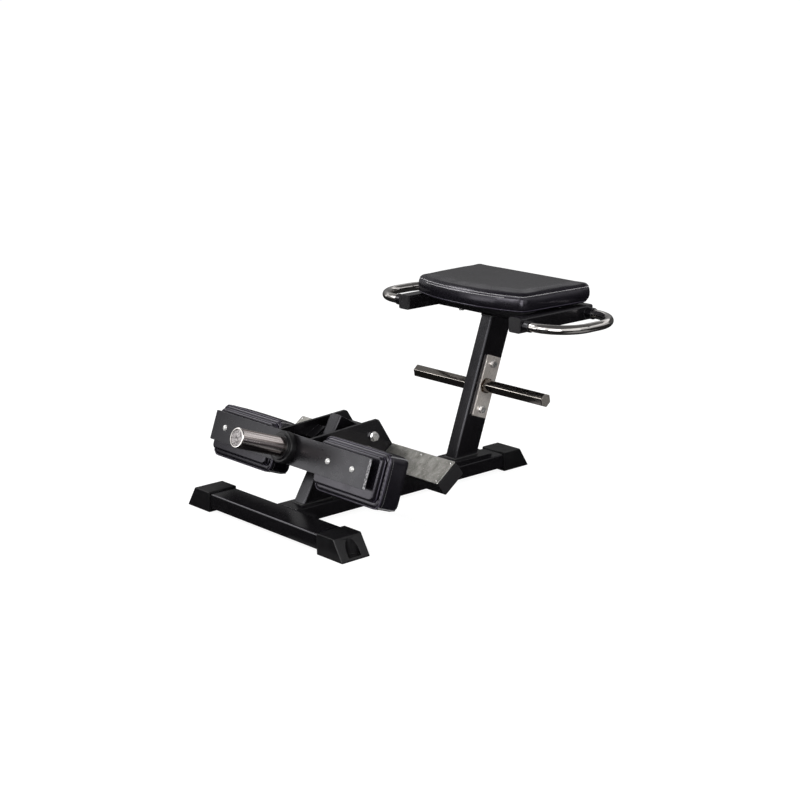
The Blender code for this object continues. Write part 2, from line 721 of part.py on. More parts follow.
def pad_bolt_places():
    """Places across the plate, two for each pad."""
    places = {}
    for side, sign in SIDES.items():
        for name, shift in (("inner", -1), ("outer", 1)):
            places[f"{side}_{name}"] = sign * (PAD_CENTRE_X + shift * PAD_BOLT_PITCH / 2)
    return places


def add_cross_plate():
    """The long front plate, with a welded spacer and a through hole behind each pad bolt."""
    outline = rectangle(CROSS_PLATE_LENGTH, CROSS_PLATE_HEIGHT, PLATE_CORNER, steps=2)
    middle = on_cross_plate(0, 0, CROSS_PLATE_THICKNESS / 2)
    plate = add_part(
        "cross_plate", extrusion([outline], CROSS_PLATE_THICKNESS), "frame_paint", ARM, middle, PLATE_VIEW,
    )
    sunk = CROSS_PLATE_THICKNESS / 2
    spacer = cylinder(PAD_SPACER_DIAMETER, PAD_SPACER + sunk, SMALL_ROUND_STEPS)
    behind = CROSS_PLATE_THICKNESS + (PAD_SPACER - sunk) / 2
    hole = bore(PAD_BOLT["shank"] + 2 * BOLT_CLEARANCE, 4 * (PAD_SPACER + CROSS_PLATE_THICKNESS), SMALL_ROUND_STEPS)
    bolt = button_bolt_mesh()
    for x in pad_bolt_places().values():
        fuse(plate, spacer, on_cross_plate(x, 0, behind), PLATE_VIEW)
    for name, x in pad_bolt_places().items():
        cut(plate, hole, on_cross_plate(x, 0, 0), PLATE_VIEW)
        add_part(f"pad_bolt_{name}", bolt, "zinc", ARM, on_cross_plate(x, 0, -TOUCH), PLATE_VIEW)


def add_pads():
    """Each pad is a wrapped board that the bolts reach, and a thicker foam body behind it."""
    board_front = CROSS_PLATE_THICKNESS + PAD_SPACER + TOUCH
    foam_front = board_front + PAD_BOARD_THICKNESS + TOUCH
    board = extrusion([rectangle(PAD_BOARD_LENGTH, PAD_BOARD_HEIGHT, PAD_BOARD_CORNER)], PAD_BOARD_THICKNESS)
    # The pads are stacked from the back, which faces away from the cross plate, to the front
    profile = cushion_profile(PAD_THICKNESS, PAD_BACK_EDGE, PAD_FRONT_EDGE)
    foam = stacked([
        (rectangle(PAD_LENGTH - 2 * inset, PAD_HEIGHT - 2 * inset, PAD_CORNER - inset), height - PAD_THICKNESS / 2)
        for inset, height in profile
    ])
    hole = bore(
        PAD_BOLT["shank"] + 2 * BOLT_CLEARANCE, 2 * (SCREW_IN_BOARD + BOLT_CLEARANCE), SMALL_ROUND_STEPS,
    )
    places = pad_bolt_places()
    for side, sign in SIDES.items():
        x = sign * PAD_CENTRE_X
        place = on_cross_plate(x, -PAD_BOARD_DROP, board_front + PAD_BOARD_THICKNESS / 2)
        part = add_part(f"pad_board_{side}", board, "vinyl", ARM, place, PLATE_VIEW)
        for name in (f"{side}_inner", f"{side}_outer"):
            cut(part, hole, on_cross_plate(places[name], 0, board_front), PLATE_VIEW)
        place = on_cross_plate(x + sign * PAD_SHIFT, -PAD_DROP, foam_front + PAD_THICKNESS / 2)
        add_part(f"pad_{side}", foam, "vinyl", ARM, place, PLATE_VIEW)


def add_horn():
    """The weight horn stands on the cross plate, between its rubber bumper and its end cap."""
    tube_length = HORN_LENGTH - HORN_CAP_RIM - 2 * TOUCH
    radius = HORN_DIAMETER / 2
    section = [
        (radius - HORN_WALL, tube_length), (radius, tube_length), (radius, 0), (radius - HORN_WALL, 0),
    ]
    add_part("weight_horn", turned(section), "stainless", ARM, on_cross_plate(0, 0, -TOUCH), PLATE_VIEW)

    plug = radius - HORN_WALL - TOUCH
    cap_seat = tube_length + 2 * TOUCH
    dish = HORN_CAP_RIM - HORN_CAP_DISH
    cap = [
        (0, dish), (HORN_CAP_DISH_DIAMETER / 2, dish), (HORN_CAP_LIP_DIAMETER / 2, HORN_CAP_RIM),
        (radius - HORN_CAP_EDGE, HORN_CAP_RIM), (radius, HORN_CAP_RIM - HORN_CAP_EDGE), (radius, 0),
        (plug, 0), (plug, -HORN_CAP_PLUG), (0, -HORN_CAP_PLUG),
    ]
    add_part("horn_end_cap", turned(cap), "zinc", ARM, on_cross_plate(0, 0, -cap_seat), PLATE_VIEW)

    inner = (radius + TOUCH) / math.cos(math.pi / ROUND_STEPS)
    shoulder = BUMPER_THICKNESS - BUMPER_STEP
    ring = [
        (inner, BUMPER_THICKNESS), (BUMPER_STEP_DIAMETER / 2, BUMPER_THICKNESS),
        (BUMPER_STEP_DIAMETER / 2, shoulder), (BUMPER_DIAMETER / 2 - BUMPER_EDGE, shoulder),
        (BUMPER_DIAMETER / 2, shoulder - BUMPER_EDGE), (BUMPER_DIAMETER / 2, 0), (inner, 0),
    ]
    add_part("horn_bumper", turned(ring), "rubber", ARM, on_cross_plate(0, 0, -TOUCH), PLATE_VIEW)


def add_heel_rest():
    """The heel tube hangs under the cheeks; a tread plate lies on it at each side of them."""
    outlines = tube_section(HEEL_TUBE_DEPTH, HEEL_TUBE_HEIGHT)
    heel_rotation = (Matrix.Rotation(HEEL_TILT, 3, "X") @ SIDE_VIEW.to_matrix()).to_euler()
    add_part(
        "heel_tube", extrusion(outlines, HEEL_TUBE_LENGTH), "frame_paint", ARM,
        on_heel(0, HEEL_TUBE_DEPTH / 2, HEEL_TUBE_HEIGHT / 2), heel_rotation,
    )
    plug = end_plug_mesh(HEEL_TUBE_HEIGHT, HEEL_TUBE_DEPTH)
    plate_length = HEEL_TUBE_LENGTH / 2 - HEEL_PLATE_INSIDE
    outline = rectangle(plate_length, HEEL_TUBE_DEPTH, HEEL_PLATE_CORNER, steps=1)
    plate = extrusion([outline], HEEL_PLATE_THICKNESS)
    for side, sign in SIDES.items():
        end = sign * (HEEL_TUBE_LENGTH / 2 + TOUCH)
        turn = Matrix.Rotation(HEEL_TILT, 3, "X") @ Matrix.Rotation(sign * math.radians(90), 3, "Y")
        place = on_heel(end, HEEL_TUBE_DEPTH / 2, HEEL_TUBE_HEIGHT / 2)
        add_part(f"heel_plug_{side}", plug, "plastic", ARM, place, turn.to_euler())
        middle = sign * (HEEL_PLATE_INSIDE + plate_length / 2)
        place = on_heel(middle, HEEL_TUBE_DEPTH / 2, -TOUCH - HEEL_PLATE_THICKNESS / 2)
        add_part(f"heel_plate_{side}", plate, "tread_plate", ARM, place, HEEL_VIEW)


def add_stop():
    """A plate run through the post carries a rubber block at each side of it, and the cheeks' lugs rest on them."""
    outline = rectangle(STOP_PLATE_WIDTH, STOP_PLATE_LENGTH, PLATE_CORNER, steps=2)
    add_part(
        "stop_bracket", extrusion([outline], STOP_PLATE_THICKNESS), "frame_paint", MACHINE,
        on_stop(0, -STOP_PLATE_THICKNESS / 2), (STOP_SLOPE, 0, 0),
    )
    profile = cushion_profile(STOP_RUBBER_THICKNESS, STOP_RUBBER_EDGE, STOP_RUBBER_EDGE)
    block = stacked([
        (rectangle(STOP_RUBBER_WIDTH - 2 * inset, STOP_RUBBER_LENGTH - 2 * inset, 2 * STOP_RUBBER_EDGE - inset), height)
        for inset, height in profile
    ])
    for side, sign in SIDES.items():
        add_part(
            f"stop_rubber_{side}", block, "rubber", MACHINE, on_stop(sign * STOP_RUBBER_X, TOUCH),
            (STOP_SLOPE, 0, 0),
        )


def seat_post_point(along, back):
    return leaning(SEAT_POST_FRONT, FLANGE_TOP, SEAT_POST_LEAN, along, back)


def storage_plate_middle():
    """The middle of the storage plates, beside the bars and set back from the post's front face."""
    height = STORAGE_BAR_Z + STORAGE_PLATE_RISE - FLANGE_TOP
    along = (height + STORAGE_PLATE_SET * math.sin(SEAT_POST_LEAN)) / math.cos(SEAT_POST_LEAN)
    return along, STORAGE_PLATE_SET


def add_seat_post():
    """A flange on the main tube carries the leaning post, whose ends are both cut level."""
    add_part(
        "seat_post_flange",
        extrusion([rectangle(BASE_TUBE_WIDTH, FLANGE_LENGTH, FLANGE_CORNER)], FLANGE_THICKNESS),
        "frame_paint", MACHINE, (0, FLANGE_FRONT + FLANGE_LENGTH / 2, BASE_TOP + TOUCH + FLANGE_THICKNESS / 2),
    )
    height = SEAT_FRAME_BOTTOM - FLANGE_TOP
    length = height / math.cos(SEAT_POST_LEAN) + 2 * POST_DEPTH
    along = height / math.cos(SEAT_POST_LEAN) / 2
    y, z = seat_post_point(along, POST_DEPTH / 2)
    post = add_part(
        "seat_post", extrusion(tube_section(POST_WIDTH, POST_DEPTH), length), "frame_paint", MACHINE,
        (0, y, z), (-SEAT_POST_LEAN, 0, 0),
    )
    block = 4 * POST_DEPTH
    cut(post, box((block, 2 * block, block)), (0, y, FLANGE_TOP + TOUCH - block / 2))
    cut(post, box((block, 2 * block, block)), (0, y, SEAT_FRAME_BOTTOM - TOUCH + block / 2))
    hole = bore(STORAGE_BOLT["shank"] + 2 * BOLT_CLEARANCE, 4 * POST_WIDTH, SMALL_ROUND_STEPS)
    for y, z in storage_bolt_places().values():
        cut(post, hole, (0, y, z), ALONG_X[1])


def storage_bolt_places():
    along, back = storage_plate_middle()
    half = STORAGE_BOLT_PITCH / 2
    return {"upper": seat_post_point(along + half, back), "lower": seat_post_point(along - half, back)}


def add_storage():
    """A hexagonal bar stands on a plate at each side of the post; two bolts run through both plates.

    The bars' flats follow the plates' lean."""
    inside = POST_WIDTH / 2 + TOUCH
    outside = inside + STORAGE_PLATE_THICKNESS
    y, z = seat_post_point(*storage_plate_middle())
    outline = rectangle(STORAGE_PLATE_WIDTH, STORAGE_PLATE_HEIGHT, PLATE_CORNER, steps=1)
    plate = extrusion([outline], STORAGE_PLATE_THICKNESS)
    plate_rotation = (Matrix.Rotation(-SEAT_POST_LEAN, 3, "X") @ SIDE_VIEW.to_matrix()).to_euler()
    hole = bore(STORAGE_BOLT["shank"] + 2 * BOLT_CLEARANCE, 4 * STORAGE_PLATE_THICKNESS, SMALL_ROUND_STEPS)
    length = STORAGE_BAR_REACH - outside - TOUCH
    bar = hexagon(STORAGE_BAR_FLATS, length, -SEAT_POST_LEAN)
    for side, sign in SIDES.items():
        x = sign * (inside + STORAGE_PLATE_THICKNESS / 2)
        part = add_part(f"storage_plate_{side}", plate, "stainless", MACHINE, (x, y, z), plate_rotation)
        for bolt_y, bolt_z in storage_bolt_places().values():
            cut(part, hole, (x, bolt_y, bolt_z), ALONG_X[1])
        rise = RIGHT_STORAGE_BAR_RISE if sign > 0 else 0
        place = (sign * (outside + TOUCH + length / 2), STORAGE_BAR_Y, STORAGE_BAR_Z + rise)
        part = add_part(f"storage_bar_{side}", bar, "stainless", MACHINE, place, ALONG_X[1])
        round_edges(part, STORAGE_BAR_CHAMFER)

    washer = STORAGE_BOLT["washer_thickness"]
    shank = 2 * outside + 3 * TOUCH + washer + STORAGE_NUT_HEIGHT + STORAGE_BOLT_END
    bolt = hex_fastener(STORAGE_BOLT, shank, "storage_bolt")
    nut = storage_nut_mesh()
    for name, (bolt_y, bolt_z) in storage_bolt_places().items():
        seat = outside + TOUCH
        add_part(f"storage_bolt_{name}", bolt, "zinc", MACHINE, (seat, bolt_y, bolt_z), ALONG_X[1])
        add_part(f"storage_nut_{name}", nut, "zinc", MACHINE, (-seat, bolt_y, bolt_z), ALONG_X[-1])


def storage_nut_mesh():
    """A nut on its washer, bored through, with the washer's seat at Z = 0."""
    washer = STORAGE_BOLT["washer_thickness"]
    holder = bpy.data.objects.new("nut", cylinder(STORAGE_BOLT["washer"], washer, SMALL_ROUND_STEPS))
    PARTS.objects.link(holder)
    height = STORAGE_NUT_HEIGHT + washer / 2
    body = bpy.data.objects.new("body", hexagon(STORAGE_BOLT["flats"], height))
    body.location.z = height / 2
    hole = bpy.data.objects.new(
        "hole", bore(STORAGE_BOLT["shank"] + 2 * BOLT_CLEARANCE, 8 * STORAGE_NUT_HEIGHT, SMALL_ROUND_STEPS),
    )
    for tool, operation in ((body, "UNION"), (hole, "DIFFERENCE")):
        CUTTERS.objects.link(tool)
        apply_boolean(holder, tool, operation)
    mesh = mesh_of_object(holder, "nut")
    mesh.transform(Matrix.Translation((0, 0, washer / 2)))
    for tool in (body, hole):
        bpy.data.objects.remove(tool, do_unlink=True)
    return mesh


def handle_mesh(sign):
    """A bent tube from the front collar out, along and back to the rear collar."""
    root = SIDE_TUBE_X + SIDE_TUBE_SIZE / 2 + HANDLE_COLLAR + TOUCH
    reach = root + HANDLE_REAR_STRAIGHT + HANDLE_REAR_BEND
    corners = [
        (root, HANDLE_FRONT_Y, 0), (reach, HANDLE_FRONT_Y, HANDLE_FRONT_BEND),
        (reach, HANDLE_REAR_Y, HANDLE_REAR_BEND), (root, HANDLE_REAR_Y, 0),
    ]
    curve = bpy.data.curves.new("handle", "CURVE")
    curve.dimensions = "3D"
    curve.bevel_depth = HANDLE_DIAMETER / 2
    curve.bevel_resolution = 3
    curve.use_fill_caps = True
    spline = curve.splines.new("POLY")
    route = rounded(corners, HANDLE_BEND_STEPS)
    spline.points.add(len(route) - 1)
    for point, (x, y) in zip(spline.points, route):
        point.co = (sign * x, y, 0, 1)
    holder = bpy.data.objects.new("handle", curve)
    CUTTERS.objects.link(holder)
    return mesh_of_object(holder, "handle")


def add_seat_frame():
    """Two side tubes joined by a wide tube on the post; the handles stand on collars on the side tubes."""
    middle = SEAT_FRAME_BOTTOM + SIDE_TUBE_SIZE / 2
    side_mesh = extrusion(tube_section(SIDE_TUBE_SIZE, SIDE_TUBE_SIZE), SIDE_TUBE_LENGTH)
    side_y = SIDE_TUBE_FRONT + SIDE_TUBE_LENGTH / 2
    plug = end_plug_mesh(SIDE_TUBE_SIZE, SIDE_TUBE_SIZE)
    sunk = TUBE_WALL / 2
    collar = cylinder(HANDLE_COLLAR_DIAMETER, HANDLE_COLLAR + sunk, SMALL_ROUND_STEPS)
    collar_x = SIDE_TUBE_X + SIDE_TUBE_SIZE / 2 + (HANDLE_COLLAR - sunk) / 2
    for side, sign in SIDES.items():
        tube = add_part(
            f"seat_side_tube_{side}", side_mesh, "frame_paint", MACHINE, (sign * SIDE_TUBE_X, side_y, middle),
            FRONT_VIEW,
        )
        for y in (HANDLE_FRONT_Y, HANDLE_REAR_Y):
            fuse(tube, collar, (sign * collar_x, y, middle), ALONG_X[1])
        for end, direction in (("front", -1), ("rear", 1)):
            place = (sign * SIDE_TUBE_X, side_y + direction * (SIDE_TUBE_LENGTH / 2 + TOUCH), middle)
            add_part(
                f"side_tube_plug_{end}_{side}", plug, "plastic", MACHINE, place,
                (-direction * math.radians(90), 0, 0),
            )
        add_part(f"handle_{side}", handle_mesh(sign), "stainless", MACHINE, (0, 0, middle))

    length = 2 * (SIDE_TUBE_X - SIDE_TUBE_SIZE / 2 - TOUCH)
    tube = add_part(
        "seat_cross_tube", extrusion(tube_section(CROSS_TUBE_WIDTH, SIDE_TUBE_SIZE), length), "frame_paint",
        MACHINE, (0, cross_tube_y(), middle), SIDE_VIEW,
    )
    hole = bore(SEAT_BOLT["shank"] + 2 * BOLT_CLEARANCE, 4 * SIDE_TUBE_SIZE, SMALL_ROUND_STEPS)
    for x, y in seat_bolt_places():
        cut(tube, hole, (x, y, middle))


def cross_tube_y():
    """The wide tube is centred on the post's upper end."""
    height = SEAT_FRAME_BOTTOM - FLANGE_TOP
    return SEAT_POST_FRONT + height * math.tan(SEAT_POST_LEAN) + POST_DEPTH / math.cos(SEAT_POST_LEAN) / 2


def seat_bolt_places():
    half_x, half_y = SEAT_BOLT_SPACING_X / 2, SEAT_BOLT_SPACING_Y / 2
    return [(sx * half_x, cross_tube_y() + sy * half_y) for sy in (-1, 1) for sx in (-1, 1)]


def seat_outline(margin=0.0):
    """The cushion's plan, bowed at the front and wider at the rear, drawn inwards by a margin."""
    bow = SEAT_FRONT_BOW - margin
    centre = SEAT_FRONT + SEAT_FRONT_BOW
    half = SEAT_FRONT_HALF_WIDTH - margin
    spread = math.asin(half / bow)
    front = arc((0, centre), bow, -math.pi / 2 - spread, -math.pi / 2 + spread, 10)
    corner = max(SEAT_FRONT_CORNER - margin, LEAST_SEAT_CORNER)
    rear_corner = max(SEAT_REAR_CORNER - margin, LEAST_SEAT_CORNER)
    corners = [(x, y, 0) for x, y in front]
    corners[0] = (*front[0], corner)
    corners[-1] = (*front[-1], corner)
    del corners[1], corners[-2]
    rear_half = SEAT_REAR_HALF_WIDTH - margin
    corners += [(rear_half, SEAT_REAR - margin, rear_corner), (-rear_half, SEAT_REAR - margin, rear_corner)]
    return rounded(corners, 5)


def add_seat():
    """The board is sunk in the cushion's underside and held by four bolts through the wide tube."""
    board_bottom = SEAT_FRAME_TOP + TOUCH
    board_margin = SEAT_BOARD_MARGIN + SEAT_TUCK_LENGTH / 2
    board = add_part(
        "seat_board", extrusion([seat_outline(board_margin)], SEAT_BOARD_THICKNESS), "plywood", MACHINE,
        (0, 0, board_bottom + SEAT_BOARD_THICKNESS / 2),
    )
    bottom = SEAT_FRAME_TOP + SEAT_LIFT
    profile = cushion_profile(SEAT_THICKNESS, SEAT_LOWER_EDGE, SEAT_TOP_EDGE)
    cushion = add_part(
        "seat_cushion", stacked([(seat_outline(inset), height) for inset, height in profile]), "vinyl", MACHINE,
        (0, 0, bottom),
    )
    pocket_top = board_bottom + SEAT_BOARD_THICKNESS + TOUCH
    pocket_height = 2 * (pocket_top - bottom)
    cut(cushion, extrusion([seat_outline(board_margin - TOUCH)], pocket_height), (0, 0, bottom))

    tuck = math.atan2(SEAT_TUCK_HEIGHT, SEAT_TUCK_LENGTH)
    block = 4 * SEAT_TUCK_LENGTH
    wedge = box((4 * SEAT_REAR_HALF_WIDTH, block, block), (0, block / 2, -block / 2))
    cut(cushion, wedge, (0, SEAT_REAR - SEAT_TUCK_LENGTH, bottom), (tuck, 0, 0))

    grip = SIDE_TUBE_SIZE + 2 * TOUCH + SCREW_IN_BOARD
    bolt = hex_fastener(SEAT_BOLT, grip, "seat_bolt")
    hole = bore(
        SEAT_BOLT["shank"] + 2 * BOLT_CLEARANCE, 2 * (SCREW_IN_BOARD + BOLT_CLEARANCE), SMALL_ROUND_STEPS,
    )
    for number, (x, y) in enumerate(seat_bolt_places(), 1):
        cut(board, hole, (x, y, board_bottom))
        place = (x, y, SEAT_FRAME_BOTTOM - TOUCH)
        add_part(f"seat_bolt_{number}", bolt, "zinc", MACHINE, place, (math.pi, 0, 0))


def main():
    add_floor_frame()
    add_foot_caps()
    add_pivot_post()
    add_pivot_housing()
    add_pivot_axle()
    add_cheeks()
    add_cross_plate()
    add_pads()
    add_horn()
    add_heel_rest()
    add_stop()
    add_seat_post()
    add_storage()
    add_seat_frame()
    add_seat()


main()
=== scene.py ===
"""Looks of the tibialis dorsiflexion machine: finishes, covers, welds, stitching, floor, light and camera."""
import json
import math

import bmesh
import bpy
import numpy as np
from mathutils import Matrix, Vector
from mathutils.bvhtree import BVHTree


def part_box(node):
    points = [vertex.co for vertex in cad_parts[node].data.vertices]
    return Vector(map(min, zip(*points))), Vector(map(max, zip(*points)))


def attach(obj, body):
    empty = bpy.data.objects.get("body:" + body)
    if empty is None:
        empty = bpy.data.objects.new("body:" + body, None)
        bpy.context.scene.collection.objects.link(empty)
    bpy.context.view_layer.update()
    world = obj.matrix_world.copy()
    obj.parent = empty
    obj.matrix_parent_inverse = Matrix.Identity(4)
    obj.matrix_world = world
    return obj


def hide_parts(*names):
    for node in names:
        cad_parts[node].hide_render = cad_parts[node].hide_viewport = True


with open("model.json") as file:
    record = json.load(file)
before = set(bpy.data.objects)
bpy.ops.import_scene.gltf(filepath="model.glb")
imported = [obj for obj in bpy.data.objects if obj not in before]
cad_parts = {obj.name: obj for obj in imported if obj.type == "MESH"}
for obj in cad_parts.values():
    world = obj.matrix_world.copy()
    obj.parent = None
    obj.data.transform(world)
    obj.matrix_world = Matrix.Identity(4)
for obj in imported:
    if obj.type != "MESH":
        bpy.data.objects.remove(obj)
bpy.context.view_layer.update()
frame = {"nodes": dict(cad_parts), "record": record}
nodes = frame["nodes"]

# Frame of the model: its front cross tube's middle, and the gap between touching pieces
FRONT_TUBE_Y = -0.40217
TOUCH = 0.0003
SIDES = {"left": -1, "right": 1}

# Cross plate: the middle of its front face, and how far it leans back
PLATE_TILT = math.radians(20)
PLATE_PLACE = Vector((0, FRONT_TUBE_Y + 0.0402, 0.2033))
PLATE_LENGTH = 0.6074

# Weight horn and its rubber bumper
HORN_RADIUS = 0.025
HORN_LENGTH = 0.160
HORN_WALL = 0.003
HORN_EDGE = 0.0005
HORN_CAP_RIM = 0.003
HORN_CAP_LIP_RADIUS = 0.0215
HORN_CAP_DISH = 0.0012
HORN_PLUG_DEPTH = 0.014
BUMPER_RADIUS = 0.041
BUMPER_STEP_RADIUS = 0.033
BUMPER_THICKNESS = 0.024
BUMPER_STEP = 0.006
BUMPER_EDGE = 0.003
BUMPER_STEP_EDGE = 0.0016
BUMPER_FILLET = 0.0008

# Shin pads, in the cross plate's frame
PAD_BOARD_FRONT = 0.0243
PAD_BOARD_BACK = 0.0397
PAD_BOARD_MIDDLE = (0.2075, -0.008)
PAD_BOARD_SIZE = (0.223, 0.108)
PAD_BOARD_CORNER = 0.012
PAD_BOARD_EDGE = 0.0048
PAD_BOARD_PIPING_RISE = 0.0022
PAD_FRONT = 0.0400
PAD_MIDDLE = (0.2095, -0.010)
PAD_SIZE = (0.245, 0.139)
PAD_CORNER = 0.019
PAD_END_SEAM = 0.010
PAD_SEAMS = [PAD_MIDDLE[0] + end * (PAD_SIZE[0] / 2 - PAD_END_SEAM) for end in (-1, 1)]

# How far behind a pad's front its piping and stitches lie, where its corner beads start, and their cords
PAD_PIPING_DEPTH = 0.0042
PAD_STITCH_DEPTH = 0.0125
PAD_BEAD_DEPTH = 0.0045
PAD_BEAD_LENGTH = 0.0575
PIPING_RADIUS = 0.0021
PIPING_RISE = 0.35
BEAD_RADIUS = 0.0016
BEAD_RISE = 0.3

# Heel rest, measured from its upper rear edge
HEEL_TILT = math.radians(36)
HEEL_PLACE = Vector((0, FRONT_TUBE_Y + 0.3348, 0.1700))
HEEL_DEPTH = 0.075
HEEL_PLATE_THICKNESS = 0.003
HEEL_PLATE_INSIDE = 0.068
HEEL_PLATE_OUTSIDE = 0.300
HEEL_SCREW_INSET = 0.0075
HEEL_SCREW_HEAD = ((0, 0.0011), (0.0012, 0.0010), (0.0021, 0.0007), (0.0030, 0.0001), (0.0030, -0.0004),
                   (0, -0.0004))

# Seat
SEAT_FRONT_Y = FRONT_TUBE_Y + 0.6325
SEAT_BOW = 0.588
SEAT_FRONT_HALF = 0.2047
SEAT_REAR_HALF = 0.217
SEAT_REAR_Y = FRONT_TUBE_Y + 0.9227
SEAT_FRONT_CORNER = 0.022
SEAT_REAR_CORNER = 0.020
SEAT_BOTTOM_Z = 0.4809
SEAT_SEAM_Z = 0.522
SEAT_LOWER_SEAM_Z = 0.4870
SEAT_STITCH_RISE = 0.0026
SEAT_BORDER_CROWN = 0.0026

# Handles
HANDLE_RADIUS = 0.0125
HANDLE_Z = 0.4594
HANDLE_ROOT_X = 0.2543
HANDLE_REACH = 0.3635
HANDLE_FRONT_Y = FRONT_TUBE_Y + 0.646
HANDLE_REAR_Y = FRONT_TUBE_Y + 0.886
HANDLE_FRONT_BEND = 0.096
HANDLE_REAR_BEND = 0.104

# Floor frame and posts, for the welds at their feet
BASE_TOP = 0.050
POST_WIDTH = 0.040
POST_DEPTH = 0.080
POST_CORNER = 0.004
PIVOT_POST_LEAN = math.radians(31.3)
PIVOT_POST_FRONT_Y = FRONT_TUBE_Y + 0.0741
SEAT_POST_LEAN = math.radians(19.8)
SEAT_POST_FRONT_Y = FRONT_TUBE_Y + 0.601
SEAT_POST_TOP = 0.4394
SEAT_FLANGE_TOP = 0.0623

# Storage bars: how far their six corners stand from their middle, and how the corners are turned
BAR_FLATS = 0.033
BAR_CORNER = BAR_FLATS / math.sqrt(3)
BAR_CORNER_ANGLE = math.radians(60) - SEAT_POST_LEAN

# Weld beads: their radii, how far their middles stand off, their ripple, and their drift in radians per metre
FOOT_WELD_RADIUS = 0.0030
HEAD_WELD_RADIUS = 0.0026
BAR_WELD_RADIUS = 0.0036
FOOT_WELD_LIFT = 0.0006
HEAD_WELD_DROP = 0.0008
BAR_WELD_LIFT = 0.0004
WELD_RIPPLE = 0.0042
WELD_DRIFT = 900
WELD_PITCH = 0.0012

# Stitches, the pitch of their lines, and how far outside a cover the rays that find it start
STITCH_LENGTH = 0.0046
STITCH_PITCH = 0.0060
STITCH_RADIUS = 0.00065
LINE_PITCH = 0.003
SEAT_LINE_PITCH = 0.004
RAY_START = 0.05

# Soft parts: the grids they are remeshed to, how far they are drawn in, and how far they may swell
SEAT_GRID = 0.005
PAD_GRID = 0.004
COVER_SHRINK = 0.0016
SEAT_SWELL = 0.0024
PAD_SWELL = 0.0045
COVER_PRESSURE = 4.0
COVER_FRAMES = 20

# How covers are held: where a fixed face lets go, how wide a seam holds, and how firmly
PAD_LET_GO = (0.004, 0.010)
PAD_SEAM_HOLD = (0.002, 0.006)
PAD_SEAM_FIRMNESS = 0.85
SEAT_LET_GO = (0.003, 0.009)
SEAT_SEAM_HOLD = (0.001, 0.006)
SEAT_SEAM_FIRMNESS = 0.8

# Grooves at the seams: how wide to either side, and how deep
PAD_END_GROOVE = (0.0016, 0.0011)
PAD_PIPING_GROOVE = (0.0034, 0.0014)
SEAT_GROOVE = (0.0013, 0.0010)
SEAT_LOWER_GROOVE = (0.0012, 0.0009)

# Edges of the CAD pieces, what counts as sharp, square and long, and the tubes whose long corners are rounded
TUBE_CORNER = 0.0045
SHADED_CORNER = 0.0012
CUT_EDGE = 0.0007
SHARP_ANGLE = math.radians(40)
SQUARE_ANGLE = math.radians(60)
LONG_EDGE = 0.03
MERGE_DISTANCE = 1e-5
ACROSS_TUBES = ("front_cross_tube", "seat_cross_tube", "heel_tube")
TUBES = ACROSS_TUBES + ("main_tube", "pivot_post", "seat_post", "seat_side_tube_left", "seat_side_tube_right")

# Studio and the photograph's viewpoint
AMBIENT = 0.42
FLOOR_SIZE = 240.0
FLOOR_WHITENESS = 0.75
FLOOR_GLOW = 1.24
STUDIO_MIDDLE = Vector((0, 0, 0.25))
CAMERA_AZIMUTH = math.radians(48.14)
CAMERA_ELEVATION = math.radians(14.56)
CAMERA_ROLL = math.radians(-0.32)
CAMERA_PLACE = Vector((3.2145, -2.86157, 1.3787))
CAMERA_LENS = 76.75
CAMERA_SENSOR = 36

# Frames, X across: up the cross plate and out of its face, and rearward up the heel rest and out of its top
PLATE = Matrix.Translation(PLATE_PLACE) @ Matrix.Rotation(math.pi / 2 - PLATE_TILT, 4, "X")
HEEL = Matrix.Translation(HEEL_PLACE) @ Matrix.Rotation(HEEL_TILT, 4, "X")


# Materials

class Graph:
    """A node tree under construction, with short calls for its nodes."""

    def __init__(self, tree):
        self.tree = tree

    def node(self, kind, **inputs):
        made = self.tree.nodes.new("ShaderNode" + kind)
        for key, value in inputs.items():
            self.feed(made.inputs[key.replace("_", " ")], value)
        return made

    def feed(self, socket, value):
        if isinstance(value, bpy.types.NodeSocket):
            self.tree.links.new(value, socket)
        else:
            socket.default_value = value

    def between(self, value, low, high, start=0.0, end=1.0):
        """The value carried from the range low..high to the range start..end, and held at its ends."""
        made = self.node("MapRange", Value=value, From_Min=low, From_Max=high, To_Min=start, To_Max=end)
        return made.outputs["Result"]

    def maths(self, operation, first, second=0.0):
        made = self.tree.nodes.new("ShaderNodeMath")
        made.operation = operation
        self.feed(made.inputs[0], first)
        self.feed(made.inputs[1], second)
        return made.outputs[0]


